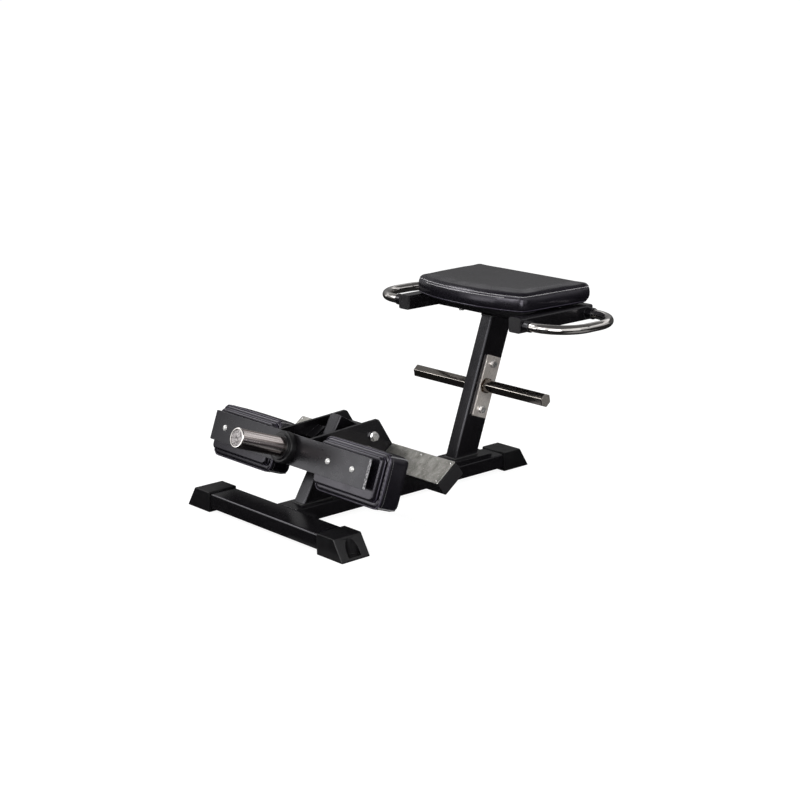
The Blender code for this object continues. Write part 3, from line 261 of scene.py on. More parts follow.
class Finish(Graph):
    """A Principled material under construction."""

    def __init__(self, name, **sockets):
        self.material = bpy.data.materials.new(name)
        self.material.use_nodes = True
        super().__init__(self.material.node_tree)
        self.shader = self.tree.nodes["Principled BSDF"]
        for socket, value in sockets.items():
            self.shader.inputs[socket.replace("_", " ")].default_value = value
        self.place = self.node("TexCoord").outputs["Object"]

    def set(self, socket, value):
        self.feed(self.shader.inputs[socket], value)

    def paint(self, factor, first, second):
        self.set("Base Color", self.colours(factor, first, second))

    def roughen(self, value, start, end, low=0.0, high=1.0):
        self.set("Roughness", self.between(value, low, high, start, end))

    def emboss(self, height, distance, strength, under=None):
        self.set("Normal", self.bump(height, distance, strength, under))

    def noise(self, scale, detail=3.0, roughness=0.55, stretch=None):
        """Cloudy noise; stretch multiplies its scale along X, Y and Z."""
        place = self.place
        if stretch:
            place = self.node("Mapping", Vector=place, Scale=stretch).outputs["Vector"]
        made = self.node("TexNoise", Vector=place, Scale=scale, Detail=detail, Roughness=roughness)
        return made.outputs["Fac"]

    def colours(self, factor, first, second):
        """A mix of two colours, each a socket or its red, green and blue."""
        made = self.tree.nodes.new("ShaderNodeMix")
        made.data_type = "RGBA"
        self.feed(made.inputs["Factor"], factor)
        for socket, colour in zip((made.inputs[6], made.inputs[7]), (first, second)):
            self.feed(socket, colour if isinstance(colour, bpy.types.NodeSocket) else (*colour, 1))
        return made.outputs[2]

    def bump(self, height, distance, strength, under=None):
        """The normal of a relief, laid over another normal if one is given."""
        made = self.node("Bump", Height=height, Distance=distance, Strength=strength)
        if under:
            self.feed(made.inputs["Normal"], under)
        return made.outputs["Normal"]

    def axis(self, name):
        return self.node("SeparateXYZ", Vector=self.place).outputs[name]

    def near_end(self, reach, start, end):
        """From 0 to 1 near the ends of a piece that reaches so far out along X, between two depths."""
        return self.between(self.maths("ABSOLUTE", self.axis("X")), reach - start, reach - end)

    def soft_corners(self, radius, samples=6):
        """The normal of a surface whose corners are rounded by a radius."""
        bevel = self.node("Bevel", Radius=radius)
        bevel.samples = samples
        return bevel.outputs["Normal"]

    def edges(self, radius, low=0.02, high=0.25):
        """1 on the edges that stand out and 0 on faces, from how a rounded normal leaves the true one."""
        true_normal = self.tree.nodes.new("ShaderNodeNewGeometry").outputs["Normal"]
        dot = self.tree.nodes.new("ShaderNodeVectorMath")
        dot.operation = "DOT_PRODUCT"
        self.feed(dot.inputs[0], self.soft_corners(radius, 4))
        self.feed(dot.inputs[1], true_normal)
        return self.between(dot.outputs["Value"], 1 - low, 1 - high)


def powder_coat(name):
    """A finish with the powder coat's gloss, faintly violet."""
    return Finish(name, Specular_IOR_Level=0.5, Specular_Tint=(0.94, 0.93, 1.0, 1))


def frame_paint(smooth=0.16, sawn_end=None):
    """Satin black powder coat: fine orange peel, slightly uneven gloss, and edges painted paler,
    partly rubbed thin coat and partly a painted highlight along them.

    smooth is its least roughness, and sawn_end is how far out along X its saw-cut ends lie, where the coat is
    thin and speckled and the end faces are painted pale as a painted highlight."""
    finish = powder_coat("frame_paint")
    tone = finish.between(finish.noise(9, 4), 0.3, 0.7)
    base = finish.colours(tone, (0.0042, 0.0038, 0.0046), (0.0072, 0.0066, 0.0078))
    # Edges painted paler in patches: rubbed coat, and a painted highlight along the corners
    wear_and_highlight = finish.maths("MULTIPLY", finish.edges(0.0012), finish.between(finish.noise(160), 0.38, 0.58))
    if sawn_end:
        # The saw-cut ends are painted pale in speckles: thin coat, and a painted highlight on the lit end
        # faces
        speckle_and_highlight = finish.between(finish.noise(260, 2), 0.44, 0.56, 0.15, 1.0)
        cut = finish.maths("MULTIPLY", speckle_and_highlight, finish.near_end(sawn_end, 0.0005, 0.0001))
        base = finish.colours(cut, base, (0.60, 0.59, 0.61))
    finish.paint(wear_and_highlight, base, (0.16, 0.155, 0.165))
    finish.roughen(finish.noise(26, 4), smooth, smooth + 0.07, 0.3, 0.7)
    peel = finish.bump(finish.noise(900, 2), 0.00008, 0.16, finish.soft_corners(SHADED_CORNER))
    finish.emboss(finish.noise(70, 2), 0.0003, 0.08, peel)
    return finish.material


def corner_wear_and_highlight():
    """The powder coat along a tube's rounded corners, where it lies thin and is rubbed paler; its paleness is
    also a painted highlight along the corners.
    """
    finish = powder_coat("corner_wear_and_highlight")
    # Paler in patches: rubbed coat, and a painted highlight
    rubbed = finish.between(finish.noise(150), 0.38, 0.6)
    finish.paint(rubbed, (0.020, 0.019, 0.021), (0.095, 0.092, 0.098))
    finish.roughen(rubbed, 0.16, 0.30)
    finish.emboss(finish.noise(900, 2), 0.00008, 0.16)
    return finish.material


def weld_paint():
    """The same powder coat over a weld, duller and uneven."""
    finish = Finish("weld_paint", Specular_IOR_Level=0.5, Roughness=0.3)
    finish.paint(finish.noise(60), (0.010, 0.010, 0.011), (0.022, 0.021, 0.022))
    finish.emboss(finish.noise(400), 0.0004, 0.5)
    return finish.material


def rubber():
    """Matte moulded rubber with a fine pitted skin, pale rubbed edges that are partly a painted highlight,
    and a few dusty patches.
    """
    finish = Finish("rubber", Specular_IOR_Level=0.35)
    dust = finish.between(finish.noise(22, 5, 0.6), 0.45, 0.8)
    base = finish.colours(dust, (0.0050, 0.0046, 0.0054), (0.0090, 0.0086, 0.0096))
    # Edges painted pale: rubbed rubber, and a painted highlight along the edges
    worn_edges_and_highlight = finish.maths("MULTIPLY", finish.edges(0.0015), finish.between(finish.noise(120), 0.38, 0.6))
    finish.paint(worn_edges_and_highlight, base, (0.075, 0.073, 0.077))
    finish.roughen(finish.noise(45, 4), 0.30, 0.46, 0.3, 0.7)
    finish.emboss(finish.noise(1300, 2), 0.00015, 0.4)
    return finish.material


def vinyl(name="vinyl", smooth=0.20, pale=1.0):
    """Black upholstery vinyl: a pebbled grain, a soft sheen and faint rubbed patches.

    smooth is its least roughness, and pale is how many times lighter than the covers it is: the piping's
    paler base is a painted highlight."""
    finish = Finish(name, Specular_IOR_Level=0.55, Specular_Tint=(0.93, 0.89, 1.0, 1))
    rubbed = finish.between(finish.noise(7, 4), 0.35, 0.7)
    dark = [pale * part for part in (0.0048, 0.0040, 0.0062)]
    light = [pale * part for part in (0.0085, 0.0074, 0.0112)]
    finish.paint(rubbed, dark, light)
    finish.roughen(finish.noise(18), smooth, smooth + 0.08, 0.3, 0.7)
    cells = finish.node("TexVoronoi", Vector=finish.place, Scale=720).outputs["Distance"]
    grain = finish.bump(cells, 0.0001, 0.2)
    pores = finish.bump(finish.noise(1500, 2), 0.00008, 0.4, grain)
    finish.emboss(finish.noise(38), 0.0007, 0.22, pores)
    return finish.material


def chrome():
    """Polished stainless tube with a few dull smudges."""
    finish = Finish("polished_steel", Metallic=1.0)
    smudge = finish.between(finish.noise(24, 4, 0.6), 0.4, 0.75)
    finish.paint(smudge, (0.74, 0.71, 0.69), (0.60, 0.57, 0.55))
    finish.roughen(smudge, 0.08, 0.2)
    finish.emboss(finish.noise(180), 0.00005, 0.15)
    return finish.material


def drawn_chrome():
    """The horn's polished tube: warm lengthwise streaks, partly the marks where plates have slid along it and
    partly a painted reflection of the studio's bands.
    """
    finish = Finish("drawn_steel", Metallic=1.0)
    wide = finish.between(finish.noise(150, 2, 0.5, (1, 1, 0.01)), 0.42, 0.58)
    fine = finish.between(finish.noise(420, 2, 0.5, (1, 1, 0.01)), 0.35, 0.65)
    # Lengthwise streaks from pale pink to dark brown: polish marks, and a painted reflection
    warm = finish.colours(wide, (0.97, 0.90, 0.88), (0.24, 0.19, 0.18))
    finish.paint(finish.maths("MULTIPLY", fine, 0.4), warm, (0.16, 0.12, 0.115))
    finish.roughen(fine, 0.15, 0.27)
    finish.emboss(fine, 0.00005, 0.3)
    return finish.material


def rough_disc():
    """The dull scratched face of the horn's end cap."""
    finish = Finish("horn_cap_steel", Metallic=1.0)
    blotch = finish.between(finish.noise(230, 5, 0.7), 0.40, 0.62)
    finish.paint(blotch, (0.34, 0.32, 0.32), (0.07, 0.064, 0.064))
    finish.roughen(blotch, 0.28, 0.5)
    finish.emboss(finish.noise(500, 4, 0.7), 0.0003, 0.6)
    return finish.material


def brushed_steel():
    """Warm brushed steel with lengthwise grain and light stains."""
    finish = Finish("brushed_steel", Metallic=0.55)
    stain = finish.between(finish.noise(24, 4, 0.6), 0.4, 0.75)
    finish.paint(stain, (0.74, 0.695, 0.655), (0.56, 0.51, 0.475))
    finish.roughen(finish.noise(1400, 2, 0.5, (1, 1, 0.1)), 0.26, 0.32, 0.3, 0.7)
    finish.emboss(finish.noise(300, 2), 0.00003, 0.3, finish.soft_corners(0.0015))
    return finish.material


def polished_bar(sawn_end):
    """The storage bars' bright drawn steel, smooth enough to mirror, with faint lengthwise drawing marks.

    sawn_end is how far out along X its dull turned ends lie."""
    finish = Finish("polished_bar")
    marks = finish.between(finish.noise(260, 2, 0.5, (0.02, 1, 1)), 0.3, 0.7)
    finish.paint(marks, (0.39, 0.36, 0.33), (0.29, 0.27, 0.25))
    end = finish.near_end(sawn_end, 0.0004, 0.0001)
    sides = finish.between(marks, 0, 1, 0.10, 0.18)
    finish.set("Roughness", finish.maths("ADD", sides, finish.maths("MULTIPLY", end, 0.4)))
    finish.set("Metallic", finish.between(end, 0, 1, 1.0, 0.8))
    finish.set("Normal", finish.soft_corners(SHADED_CORNER))
    return finish.material


def zinc(name="zinc", metallic=0.88, smooth=0.17):
    """Bright zinc plate with a cloudy bloom, for bolts and nuts. smooth is its least roughness."""
    finish = Finish(name, Metallic=metallic)
    cloud = finish.between(finish.noise(190, 4), 0.35, 0.7)
    finish.paint(cloud, (0.97, 0.96, 0.95), (0.74, 0.73, 0.72))
    finish.roughen(cloud, smooth, smooth + 0.13)
    finish.emboss(finish.noise(700, 2), 0.0001, 0.3)
    return finish.material


def tread_plate():
    """Dull anti-slip aluminium: a greenish cast, rubbed streaks, edges painted pale as rubbed metal and as a
    painted highlight, and grit.
    """
    finish = Finish("tread_plate", Metallic=0.85)
    streak = finish.between(finish.noise(60, 5, 0.65, (1, 0.35, 1)), 0.3, 0.72)
    base = finish.colours(streak, (0.38, 0.37, 0.345), (0.17, 0.165, 0.152))
    spots = finish.between(finish.noise(420, 3, 0.6), 0.62, 0.74)
    # Pale spots of grit, and edges painted pale, partly rubbed metal and partly a painted highlight
    rubbed = finish.maths("MAXIMUM", spots, finish.edges(0.0022, 0.01, 0.16))
    finish.paint(rubbed, base, (0.86, 0.85, 0.82))
    finish.roughen(streak, 0.42, 0.58)
    finish.emboss(finish.noise(650, 4, 0.7), 0.0004, 0.5)
    return finish.material


def plywood():
    """Dark stained plywood, seen edge on below the seat: plies stacked 3 mm apart and open grain."""
    finish = Finish("plywood", Roughness=0.75)
    plies = finish.maths("SINE", finish.maths("MULTIPLY", finish.axis("Z"), 2 * math.pi / 0.003))
    grain = finish.noise(90, 5, 0.6, (0.12, 1, 1))
    open_grain = finish.between(grain, 0.3, 0.7, 0, 0.45)
    tone = finish.maths("ADD", finish.between(plies, -1, 1, 0, 0.55), open_grain)
    finish.paint(tone, (0.040, 0.031, 0.025), (0.020, 0.0155, 0.0125))
    finish.emboss(grain, 0.0004, 0.4)
    return finish.material


def bronze():
    """Oil-soaked sintered bronze."""
    finish = Finish("bronze", Metallic=1.0)
    finish.paint(finish.noise(120, 4), (0.58, 0.38, 0.17), (0.36, 0.23, 0.10))
    finish.roughen(finish.noise(260), 0.32, 0.5, 0.3, 0.7)
    return finish.material


def plastic():
    """Black moulded plastic of the tube plugs, finely textured and slightly greyed."""
    finish = Finish("plastic", Specular_IOR_Level=0.5)
    finish.paint(finish.noise(30, 4), (0.008, 0.0075, 0.0088), (0.014, 0.013, 0.015))
    finish.roughen(finish.noise(80), 0.38, 0.52, 0.3, 0.7)
    finish.emboss(finish.noise(1100, 2), 0.00015, 0.5)
    return finish.material


def thread(name, light, dark):
    """Polyester thread with its twist."""
    finish = Finish(name, Roughness=0.6, Sheen_Weight=0.2)
    finish.paint(finish.noise(900, 2), light, dark)
    finish.emboss(finish.noise(2200, 2), 0.0002, 0.6)
    return finish.material


def burnt_weld():
    """A bare weld on the storage plates, brown and straw coloured from the heat."""
    finish = Finish("burnt_weld", Metallic=1.0)
    heat = finish.between(finish.noise(190, 4, 0.6), 0.36, 0.47)
    finish.paint(heat, (0.90, 0.80, 0.66), (0.035, 0.020, 0.013))
    finish.roughen(heat, 0.16, 0.45)
    finish.emboss(finish.noise(500), 0.0003, 0.5)
    return finish.material


MATERIALS = {
    "frame_paint": frame_paint(),
    "rubber": rubber(),
    "vinyl": vinyl(),
    "polished_steel": chrome(),
    "brushed_steel": brushed_steel(),
    "zinc": zinc(),
    "tread_plate": tread_plate(),
    "plywood": plywood(),
    "bronze": bronze(),
    "plastic": plastic(),
}
WELD_PAINT = weld_paint()
CORNER_WEAR_AND_HIGHLIGHT = corner_wear_and_highlight()
BURNT_WELD = burnt_weld()
PALE_THREAD = thread("pale_thread", (0.72, 0.71, 0.72), (0.50, 0.49, 0.51))
DARK_THREAD = thread("dark_thread", (0.10, 0.098, 0.105), (0.04, 0.038, 0.043))
# The corner beads' pale grey is a painted highlight along them
BEAD_HIGHLIGHT_CORD = thread("bead_highlight_cord", (0.24, 0.235, 0.245), (0.13, 0.127, 0.134))
# Piping painted five times paler than the covers, as a painted highlight along it
PIPING = vinyl("piping_vinyl", 0.09, 5.0)
HORN_CAP_STEEL = rough_disc()
DRAWN_CHROME = drawn_chrome()
BLOOMED_ZINC = zinc("bloomed_zinc", 0.35, 0.28)
BAR_STEEL = polished_bar(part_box("storage_bar_right")[1].x)
NODE_MATERIALS = {
    "storage_bar_left": BAR_STEEL,
    "storage_bar_right": BAR_STEEL,
    # The cross plate's ends take the pale speckled paint, partly a painted highlight
    "cross_plate": frame_paint(0.25, PLATE_LENGTH / 2),
    **{f"pad_bolt_{side}_{place}": BLOOMED_ZINC for side in SIDES for place in ("inner", "outer")},
}


# Mesh building

def linked(name, data):
    """A new object of some data, in the scene."""
    obj = bpy.data.objects.new(name, data)
    bpy.context.scene.collection.objects.link(obj)
    return obj


def modified(obj, kind, **settings):
    """A new modifier of an object, with its settings."""
    modifier = obj.modifiers.new(kind.lower(), kind)
    for key, value in settings.items():
        setattr(modifier, key, value)
    return modifier


def piece(name, mesh, body, slot, material=None, replaces=(), matrix=None, sharp=35):
    """A mesh as a shown piece: its finish, the body it rides on and the CAD nodes it stands for."""
    if isinstance(mesh, bmesh.types.BMesh):
        shape = mesh
        mesh = bpy.data.meshes.new(name)
        bmesh.ops.recalc_face_normals(shape, faces=shape.faces)
        shape.to_mesh(mesh)
        shape.free()
    obj = linked(name, mesh)
    mesh.materials.clear()
    mesh.materials.append(material or MATERIALS[slot])
    mesh.shade_smooth()
    mesh.set_sharp_from_angle(angle=math.radians(sharp))
    if matrix is not None:
        obj.matrix_world = matrix
    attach(obj, body)
    if replaces:
        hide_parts(*replaces)
    return obj


def bridge_rings(shape, rings):
    """Quads between each ring of vertices and the next."""
    for first, second in zip(rings, rings[1:]):
        count = len(first)
        for i in range(count):
            j = (i + 1) % count
            shape.faces.new((first[i], first[j], second[j], second[i]))


def turned(profile, steps=96, closed=True, shape=None, matrix=Matrix()):
    """A solid turned about Z from (radius, height) points. An open profile starts and ends on the axis."""
    shape = shape or bmesh.new()
    rings = []
    for radius, height in profile:
        angles = [2 * math.pi * i / steps for i in range(steps)] if radius else [0]
        places = [Vector((radius * math.cos(a), radius * math.sin(a), height)) for a in angles]
        rings.append([shape.verts.new(matrix @ place) for place in places])
    pairs = list(zip(rings, rings[1:]))
    if closed:
        pairs.append((rings[-1], rings[0]))
    for first, second in pairs:
        for i in range(steps):
            j = (i + 1) % steps
            corners = (first[i % len(first)], first[j % len(first)])
            corners += (second[j % len(second)], second[i % len(second)])
            corners = list(dict.fromkeys(corners))
            if len(corners) > 2:
                shape.faces.new(corners)
    return shape


def swept(route, radius, sides=12, closed=False, shape=None):
    """A round tube along a route; radius is a number or a function of the distance along it."""
    shape = shape or bmesh.new()
    angles = [2 * math.pi * k / sides for k in range(sides)]
    start, end = (route[-1], route[0]) if closed else (route[0], route[-1])
    rings = []
    travelled = 0.0
    side = None
    for before, point, after in zip([start, *route], route, [*route[1:], end]):
        ahead = (after - before).normalized()
        if side is None:
            side = ahead.orthogonal().normalized()
        side = (side - ahead * side.dot(ahead)).normalized()
        other = ahead.cross(side)
        size = radius(travelled) if callable(radius) else radius
        spokes = [(side * math.cos(a) + other * math.sin(a)) * size for a in angles]
        rings.append([shape.verts.new(point + spoke) for spoke in spokes])
        travelled += (after - point).length
    bridge_rings(shape, rings)
    if closed:
        # The frame turns on the way round, so the last ring meets the first with its nearest vertex
        last, first = rings[-1], rings[0]
        shift = min(range(sides), key=lambda s: (first[s].co - last[0].co).length)
        bridge_rings(shape, [last, first[shift:] + first[:shift]])
    else:
        shape.faces.new(list(reversed(rings[0])))
        shape.faces.new(rings[-1])
    return shape


def rounded(corners, steps=8):
    """A closed plan through (x, y, radius) corners, each rounded by an arc."""
    points = []
    for i, (x, y, radius) in enumerate(corners):
        here = Vector((x, y))
        if radius <= 0:
            points.append(here)
            continue
        before = (Vector(corners[i - 1][:2]) - here).normalized()
        after = (Vector(corners[(i + 1) % len(corners)][:2]) - here).normalized()
        turn = before.angle(after)
        centre = here + (before + after).normalized() * (radius / math.sin(turn / 2))
        start = here + before * (radius / math.tan(turn / 2)) - centre
        swing = math.copysign(math.pi - turn, start.cross(here - centre))
        points += [centre + Matrix.Rotation(swing * k / steps, 2) @ start for k in range(steps + 1)]
    return points


def rectangle(width, height, radius, middle=(0, 0), steps=8):
    x, y = width / 2, height / 2
    corners = ((1, 1), (-1, 1), (-1, -1), (1, -1))
    return rounded([(middle[0] + i * x, middle[1] + j * y, radius) for i, j in corners], steps)


def even(points, pitch):
    """The same closed line with its points an even distance apart."""
    line = [*points, points[0]]
    lengths = [0.0]
    for first, second in zip(line, line[1:]):
        lengths.append(lengths[-1] + (second - first).length)
    count = max(3, round(lengths[-1] / pitch))
    result = []
    at = 0
    for k in range(count):
        target = lengths[-1] * k / count
        while at < len(lengths) - 2 and lengths[at + 1] < target:
            at += 1
        share = (target - lengths[at]) / max(lengths[at + 1] - lengths[at], 1e-9)
        result.append(line[at].lerp(line[at + 1], share))
    return result


def weld(name, route, slot, material, radius):
    """A closed weld bead on the base, rippled as the torch stepped and a little uneven along its way."""
    def size(travelled):
        ripple = 0.10 * math.sin(2 * math.pi * travelled / WELD_RIPPLE)
        return radius * (1 + ripple + 0.07 * math.sin(travelled * WELD_DRIFT))

    bead = swept(even(route, WELD_PITCH), size, sides=10, closed=True)
    piece(name, bead, "base", slot, material, sharp=60)


def stitches(name, routes, body, material):
    """Short thread stitches along routes of (point, normal) pairs."""
    shape = bmesh.new()
    for route in routes:
        travelled = wanted = 0.0
        for (point, normal), (next_point, next_normal) in zip(route, route[1:]):
            step = next_point - point
            while travelled + step.length > wanted:
                share = (wanted - travelled) / max(step.length, 1e-9)
                out = normal.lerp(next_normal, share).normalized()
                spindle(shape, point.lerp(next_point, share), step.normalized(), out)
                wanted += STITCH_PITCH
            travelled += step.length
    piece(name, shape, body, "vinyl", material, sharp=80)


def spindle(shape, middle, ahead, out):
    """One stitch: a thin thread that comes up, lies along the seam and goes down again."""
    half = STITCH_LENGTH / 2
    route = []
    for share in (-1, -0.8, -0.4, 0, 0.4, 0.8, 1):
        lift = STITCH_RADIUS * (1.1 - 2.4 * abs(share) ** 3)
        route.append(middle + ahead * half * share + out * lift)
    swept(route, STITCH_RADIUS, sides=6, shape=shape)


# Covers

def evaluated_mesh(obj):
    """An object's mesh with its modifiers applied."""
    graph = bpy.context.evaluated_depsgraph_get()
    return bpy.data.meshes.new_from_object(obj.evaluated_get(graph), depsgraph=graph)


def remeshed(node, grid):
    """A CAD soft solid's mesh, rebuilt as an even grid of quads."""
    holder = linked("remesh_holder", nodes[node].data.copy())
    modified(holder, "WELD", merge_threshold=MERGE_DISTANCE)
    modified(holder, "REMESH", mode="VOXEL", voxel_size=grid)
    mesh = evaluated_mesh(holder)
    bpy.data.objects.remove(holder)
    return mesh


def rows(items, attribute, width, kind=float):
    """One attribute of all vertices or edges, as rows of numbers."""
    numbers = np.zeros(len(items) * width, dtype=kind)
    items.foreach_get(attribute, numbers)
    return numbers.reshape(-1, width)


def coordinates(mesh):
    return rows(mesh.vertices, "co", 3)


def vertex_normals(mesh):
    return rows(mesh.vertex_normals, "vector", 3)


def set_coordinates(mesh, co):
    mesh.vertices.foreach_set("co", np.asarray(co, dtype=np.float32).ravel())
    mesh.update()


def relaxed(mesh, co, rounds, amount, keep=None):
    """Each point drawn towards its neighbours' middle, apart from those kept."""
    pairs = rows(mesh.edges, "vertices", 2, int)
    count = np.bincount(pairs.ravel(), minlength=len(co))[:, None]
    for _ in range(rounds):
        total = np.zeros_like(co)
        np.add.at(total, pairs[:, 0], co[pairs[:, 1]])
        np.add.at(total, pairs[:, 1], co[pairs[:, 0]])
        move = (total / np.maximum(count, 1) - co) * amount
        if keep is not None:
            move *= (1 - keep)[:, None]
        co = co + move
    return co


def swollen(node, grid, swell, held):
    """A soft CAD solid as a stuffed cover: drawn in, blown up as cloth, and held where it is fixed.

    swell is how far it may move out, and held says how firmly each point is kept: 1 holds it in its place."""
    mesh = remeshed(node, grid)
    start = relaxed(mesh, coordinates(mesh), 2, 0.5)
    set_coordinates(mesh, start)
    normals = vertex_normals(mesh)
    keep = held(start, normals)
    drawn_in = normals * (COVER_SHRINK * (1 - keep))[:, None]
    start = start - drawn_in
    set_coordinates(mesh, start)
    moved = blown(mesh, keep)
    travel = relaxed(mesh, moved - start, 12, 0.6, keep)
    length = np.linalg.norm(travel, axis=1)
    travel *= np.minimum(1, swell / np.maximum(length, 1e-9))[:, None]
    set_coordinates(mesh, relaxed(mesh, start + travel, 3, 0.5, keep * 0.7))
    holder = linked("subdivide_holder", mesh)
    modified(holder, "SUBSURF", levels=1)
    finer = evaluated_mesh(holder)
    bpy.data.objects.remove(holder)
    return finer


def blown(mesh, keep):
    """Where the points go when the cover is blown up for a while."""
    holder = linked("cloth_holder", mesh)
    group = holder.vertex_groups.new(name="held")
    for i in np.nonzero(keep > 0.01)[0]:
        group.add([int(i)], float(keep[i]), "REPLACE")
    cloth = modified(holder, "CLOTH")
    settings = cloth.settings
    settings.quality = 5
    settings.mass = 0.3
    settings.use_pressure = True
    settings.uniform_pressure_force = COVER_PRESSURE
    settings.effector_weights.gravity = 0
    settings.vertex_group_mass = "held"
    settings.tension_stiffness = 20
    settings.compression_stiffness = 20
    settings.shear_stiffness = 10
    settings.bending_stiffness = 2
    cloth.point_cache.frame_start = 1
    cloth.point_cache.frame_end = COVER_FRAMES
    for step in range(1, COVER_FRAMES + 1):
        bpy.context.scene.frame_set(step)
    moved = coordinates(evaluated_mesh(holder))
    bpy.context.scene.frame_set(1)
    bpy.data.objects.remove(holder)
    return moved


def smooth_step(value, low, high):
    share = np.clip((value - low) / (high - low), 0, 1)
    return share * share * (3 - 2 * share)


def groove(distance, width, depth):
    """How deep a groove is, from the distance to its middle."""
    return np.exp(-(distance / width) ** 2) * depth


def tree_of(mesh):
    shape = bmesh.new()
    shape.from_mesh(mesh)
    tree = BVHTree.FromBMesh(shape)
    shape.free()
    return tree


def traced(tree, rays):
    """Where rays of (origin, direction) meet a surface, as (point, normal) pairs."""
    found = []
    for origin, direction in rays:
        point, normal, _, _ = tree.ray_cast(origin, direction)
        if point is not None:
            found.append((point, -direction if normal.dot(direction) > 0 else normal))
    return found


def cord(pairs, radius, rise, sides, closed=False, shape=None):
    """A cord laid along (point, normal) pairs, raised from the surface by a share of its radius."""
    return swept([p + n * radius * rise for p, n in pairs], radius, sides, closed, shape)


# Weight horn

def add_horn():
    """A polished tube between a stepped rubber bumper and a scratched end cap with a bright lip."""
    top, foot = HORN_LENGTH, HORN_LENGTH - HORN_CAP_RIM
    tube_end = foot - TOUCH
    bore = HORN_RADIUS - HORN_WALL
    tube = [
        (bore, TOUCH), (HORN_RADIUS, TOUCH), (HORN_RADIUS, tube_end - HORN_EDGE),
        (HORN_RADIUS - HORN_EDGE, tube_end), (bore, tube_end),
    ]
    piece("horn_tube", turned(tube, 128), "arm", "polished_steel", DRAWN_CHROME, ["weight_horn"], PLATE)

    # The lip's outer rim is rounded by a millimetre, and the disc inside it is slightly crowned
    dish = top - HORN_CAP_DISH
    rim = HORN_CAP_LIP_RADIUS
    lip = [
        (rim, dish - 0.0006), (rim, top - HORN_EDGE), (rim + HORN_EDGE, top), (HORN_RADIUS - 0.0010, top),
        (HORN_RADIUS - 0.0003, top - 0.0004), (HORN_RADIUS, top - 0.0011), (HORN_RADIUS, foot), (rim, foot),
    ]
    piece("horn_cap_lip", turned(lip), "arm", "polished_steel", matrix=PLATE)
    disc = [
        (0, dish - 0.0002), (0.006, dish - 0.0001), (0.013, dish), (rim - 0.0010, dish - 0.0002),
        (rim - 0.0002, dish - 0.0009), (rim - 0.0002, foot), (bore - TOUCH, foot),
        (bore - TOUCH, foot - HORN_PLUG_DEPTH), (0, foot - HORN_PLUG_DEPTH),
    ]
    piece("horn_cap_disc", turned(disc, closed=False), "arm", "zinc", HORN_CAP_STEEL, ["horn_end_cap"], PLATE)

    hole = HORN_RADIUS + TOUCH
    shoulder = BUMPER_THICKNESS - BUMPER_STEP
    bumper = [(hole, TOUCH), (hole, BUMPER_THICKNESS - 0.001)]
    bumper += quarter(BUMPER_STEP_RADIUS, BUMPER_THICKNESS, BUMPER_STEP_EDGE)
    bumper += [(BUMPER_STEP_RADIUS, shoulder + BUMPER_FILLET), (BUMPER_STEP_RADIUS + BUMPER_FILLET, shoulder)]
    bumper += quarter(BUMPER_RADIUS, shoulder, BUMPER_EDGE)
    bumper += [(BUMPER_RADIUS, 0.0012), (BUMPER_RADIUS - 0.0009, TOUCH)]
    piece("bumper_ring", turned(bumper), "arm", "rubber", replaces=["horn_bumper"], matrix=PLATE)


def quarter(radius, height, edge, steps=5):
    """The rounded outer corner of a turned part, from its face out to its side."""
    points = []
    for k in range(steps + 1):
        a = math.pi / 2 * (1 - k / steps)
        points.append((radius - edge + edge * math.cos(a), height - edge + edge * math.sin(a)))
    return points


# Shin pads

def plate_ray(start, target):
    """A ray from one point to another, both in the cross plate's frame."""
    origin = PLATE @ start
    return origin, (PLATE @ target - origin).normalized()


def pad_rays(side, plan, depth):
    """Rays that meet a pad from outside its plan, at a depth behind the cross plate."""
    sign = SIDES[side]
    middle = sign * PAD_MIDDLE[0]
    half = (PAD_SIZE[0] - PAD_SIZE[1]) / 2
    rays = []
    for point in plan:
        corner = Vector((sign * point.x, point.y))
        core = Vector((min(max(corner.x, middle - half), middle + half), PAD_MIDDLE[1]))
        outside = corner + (corner - core).normalized() * RAY_START
        rays.append(plate_ray(Vector((*outside, -depth)), Vector((*corner, -depth))))
    return rays


def behind_plate(co):
    """Points in the cross plate's frame: how far out to either side, and how far behind the plate's face."""
    local = (np.asarray(PLATE.inverted()) @ np.c_[co, np.ones(len(co))].T).T
    return abs(local[:, 0]), -local[:, 2]


def pad_held(co, normals):
    """The front face is fixed to its board, and the end seams draw the cover in."""
    out, depth = behind_plate(co)
    front = 1 - smooth_step(depth - PAD_FRONT, *PAD_LET_GO)
    near = np.min([abs(out - seam) for seam in PAD_SEAMS], axis=0)
    return np.maximum(front, PAD_SEAM_FIRMNESS * (1 - smooth_step(near, *PAD_SEAM_HOLD)))


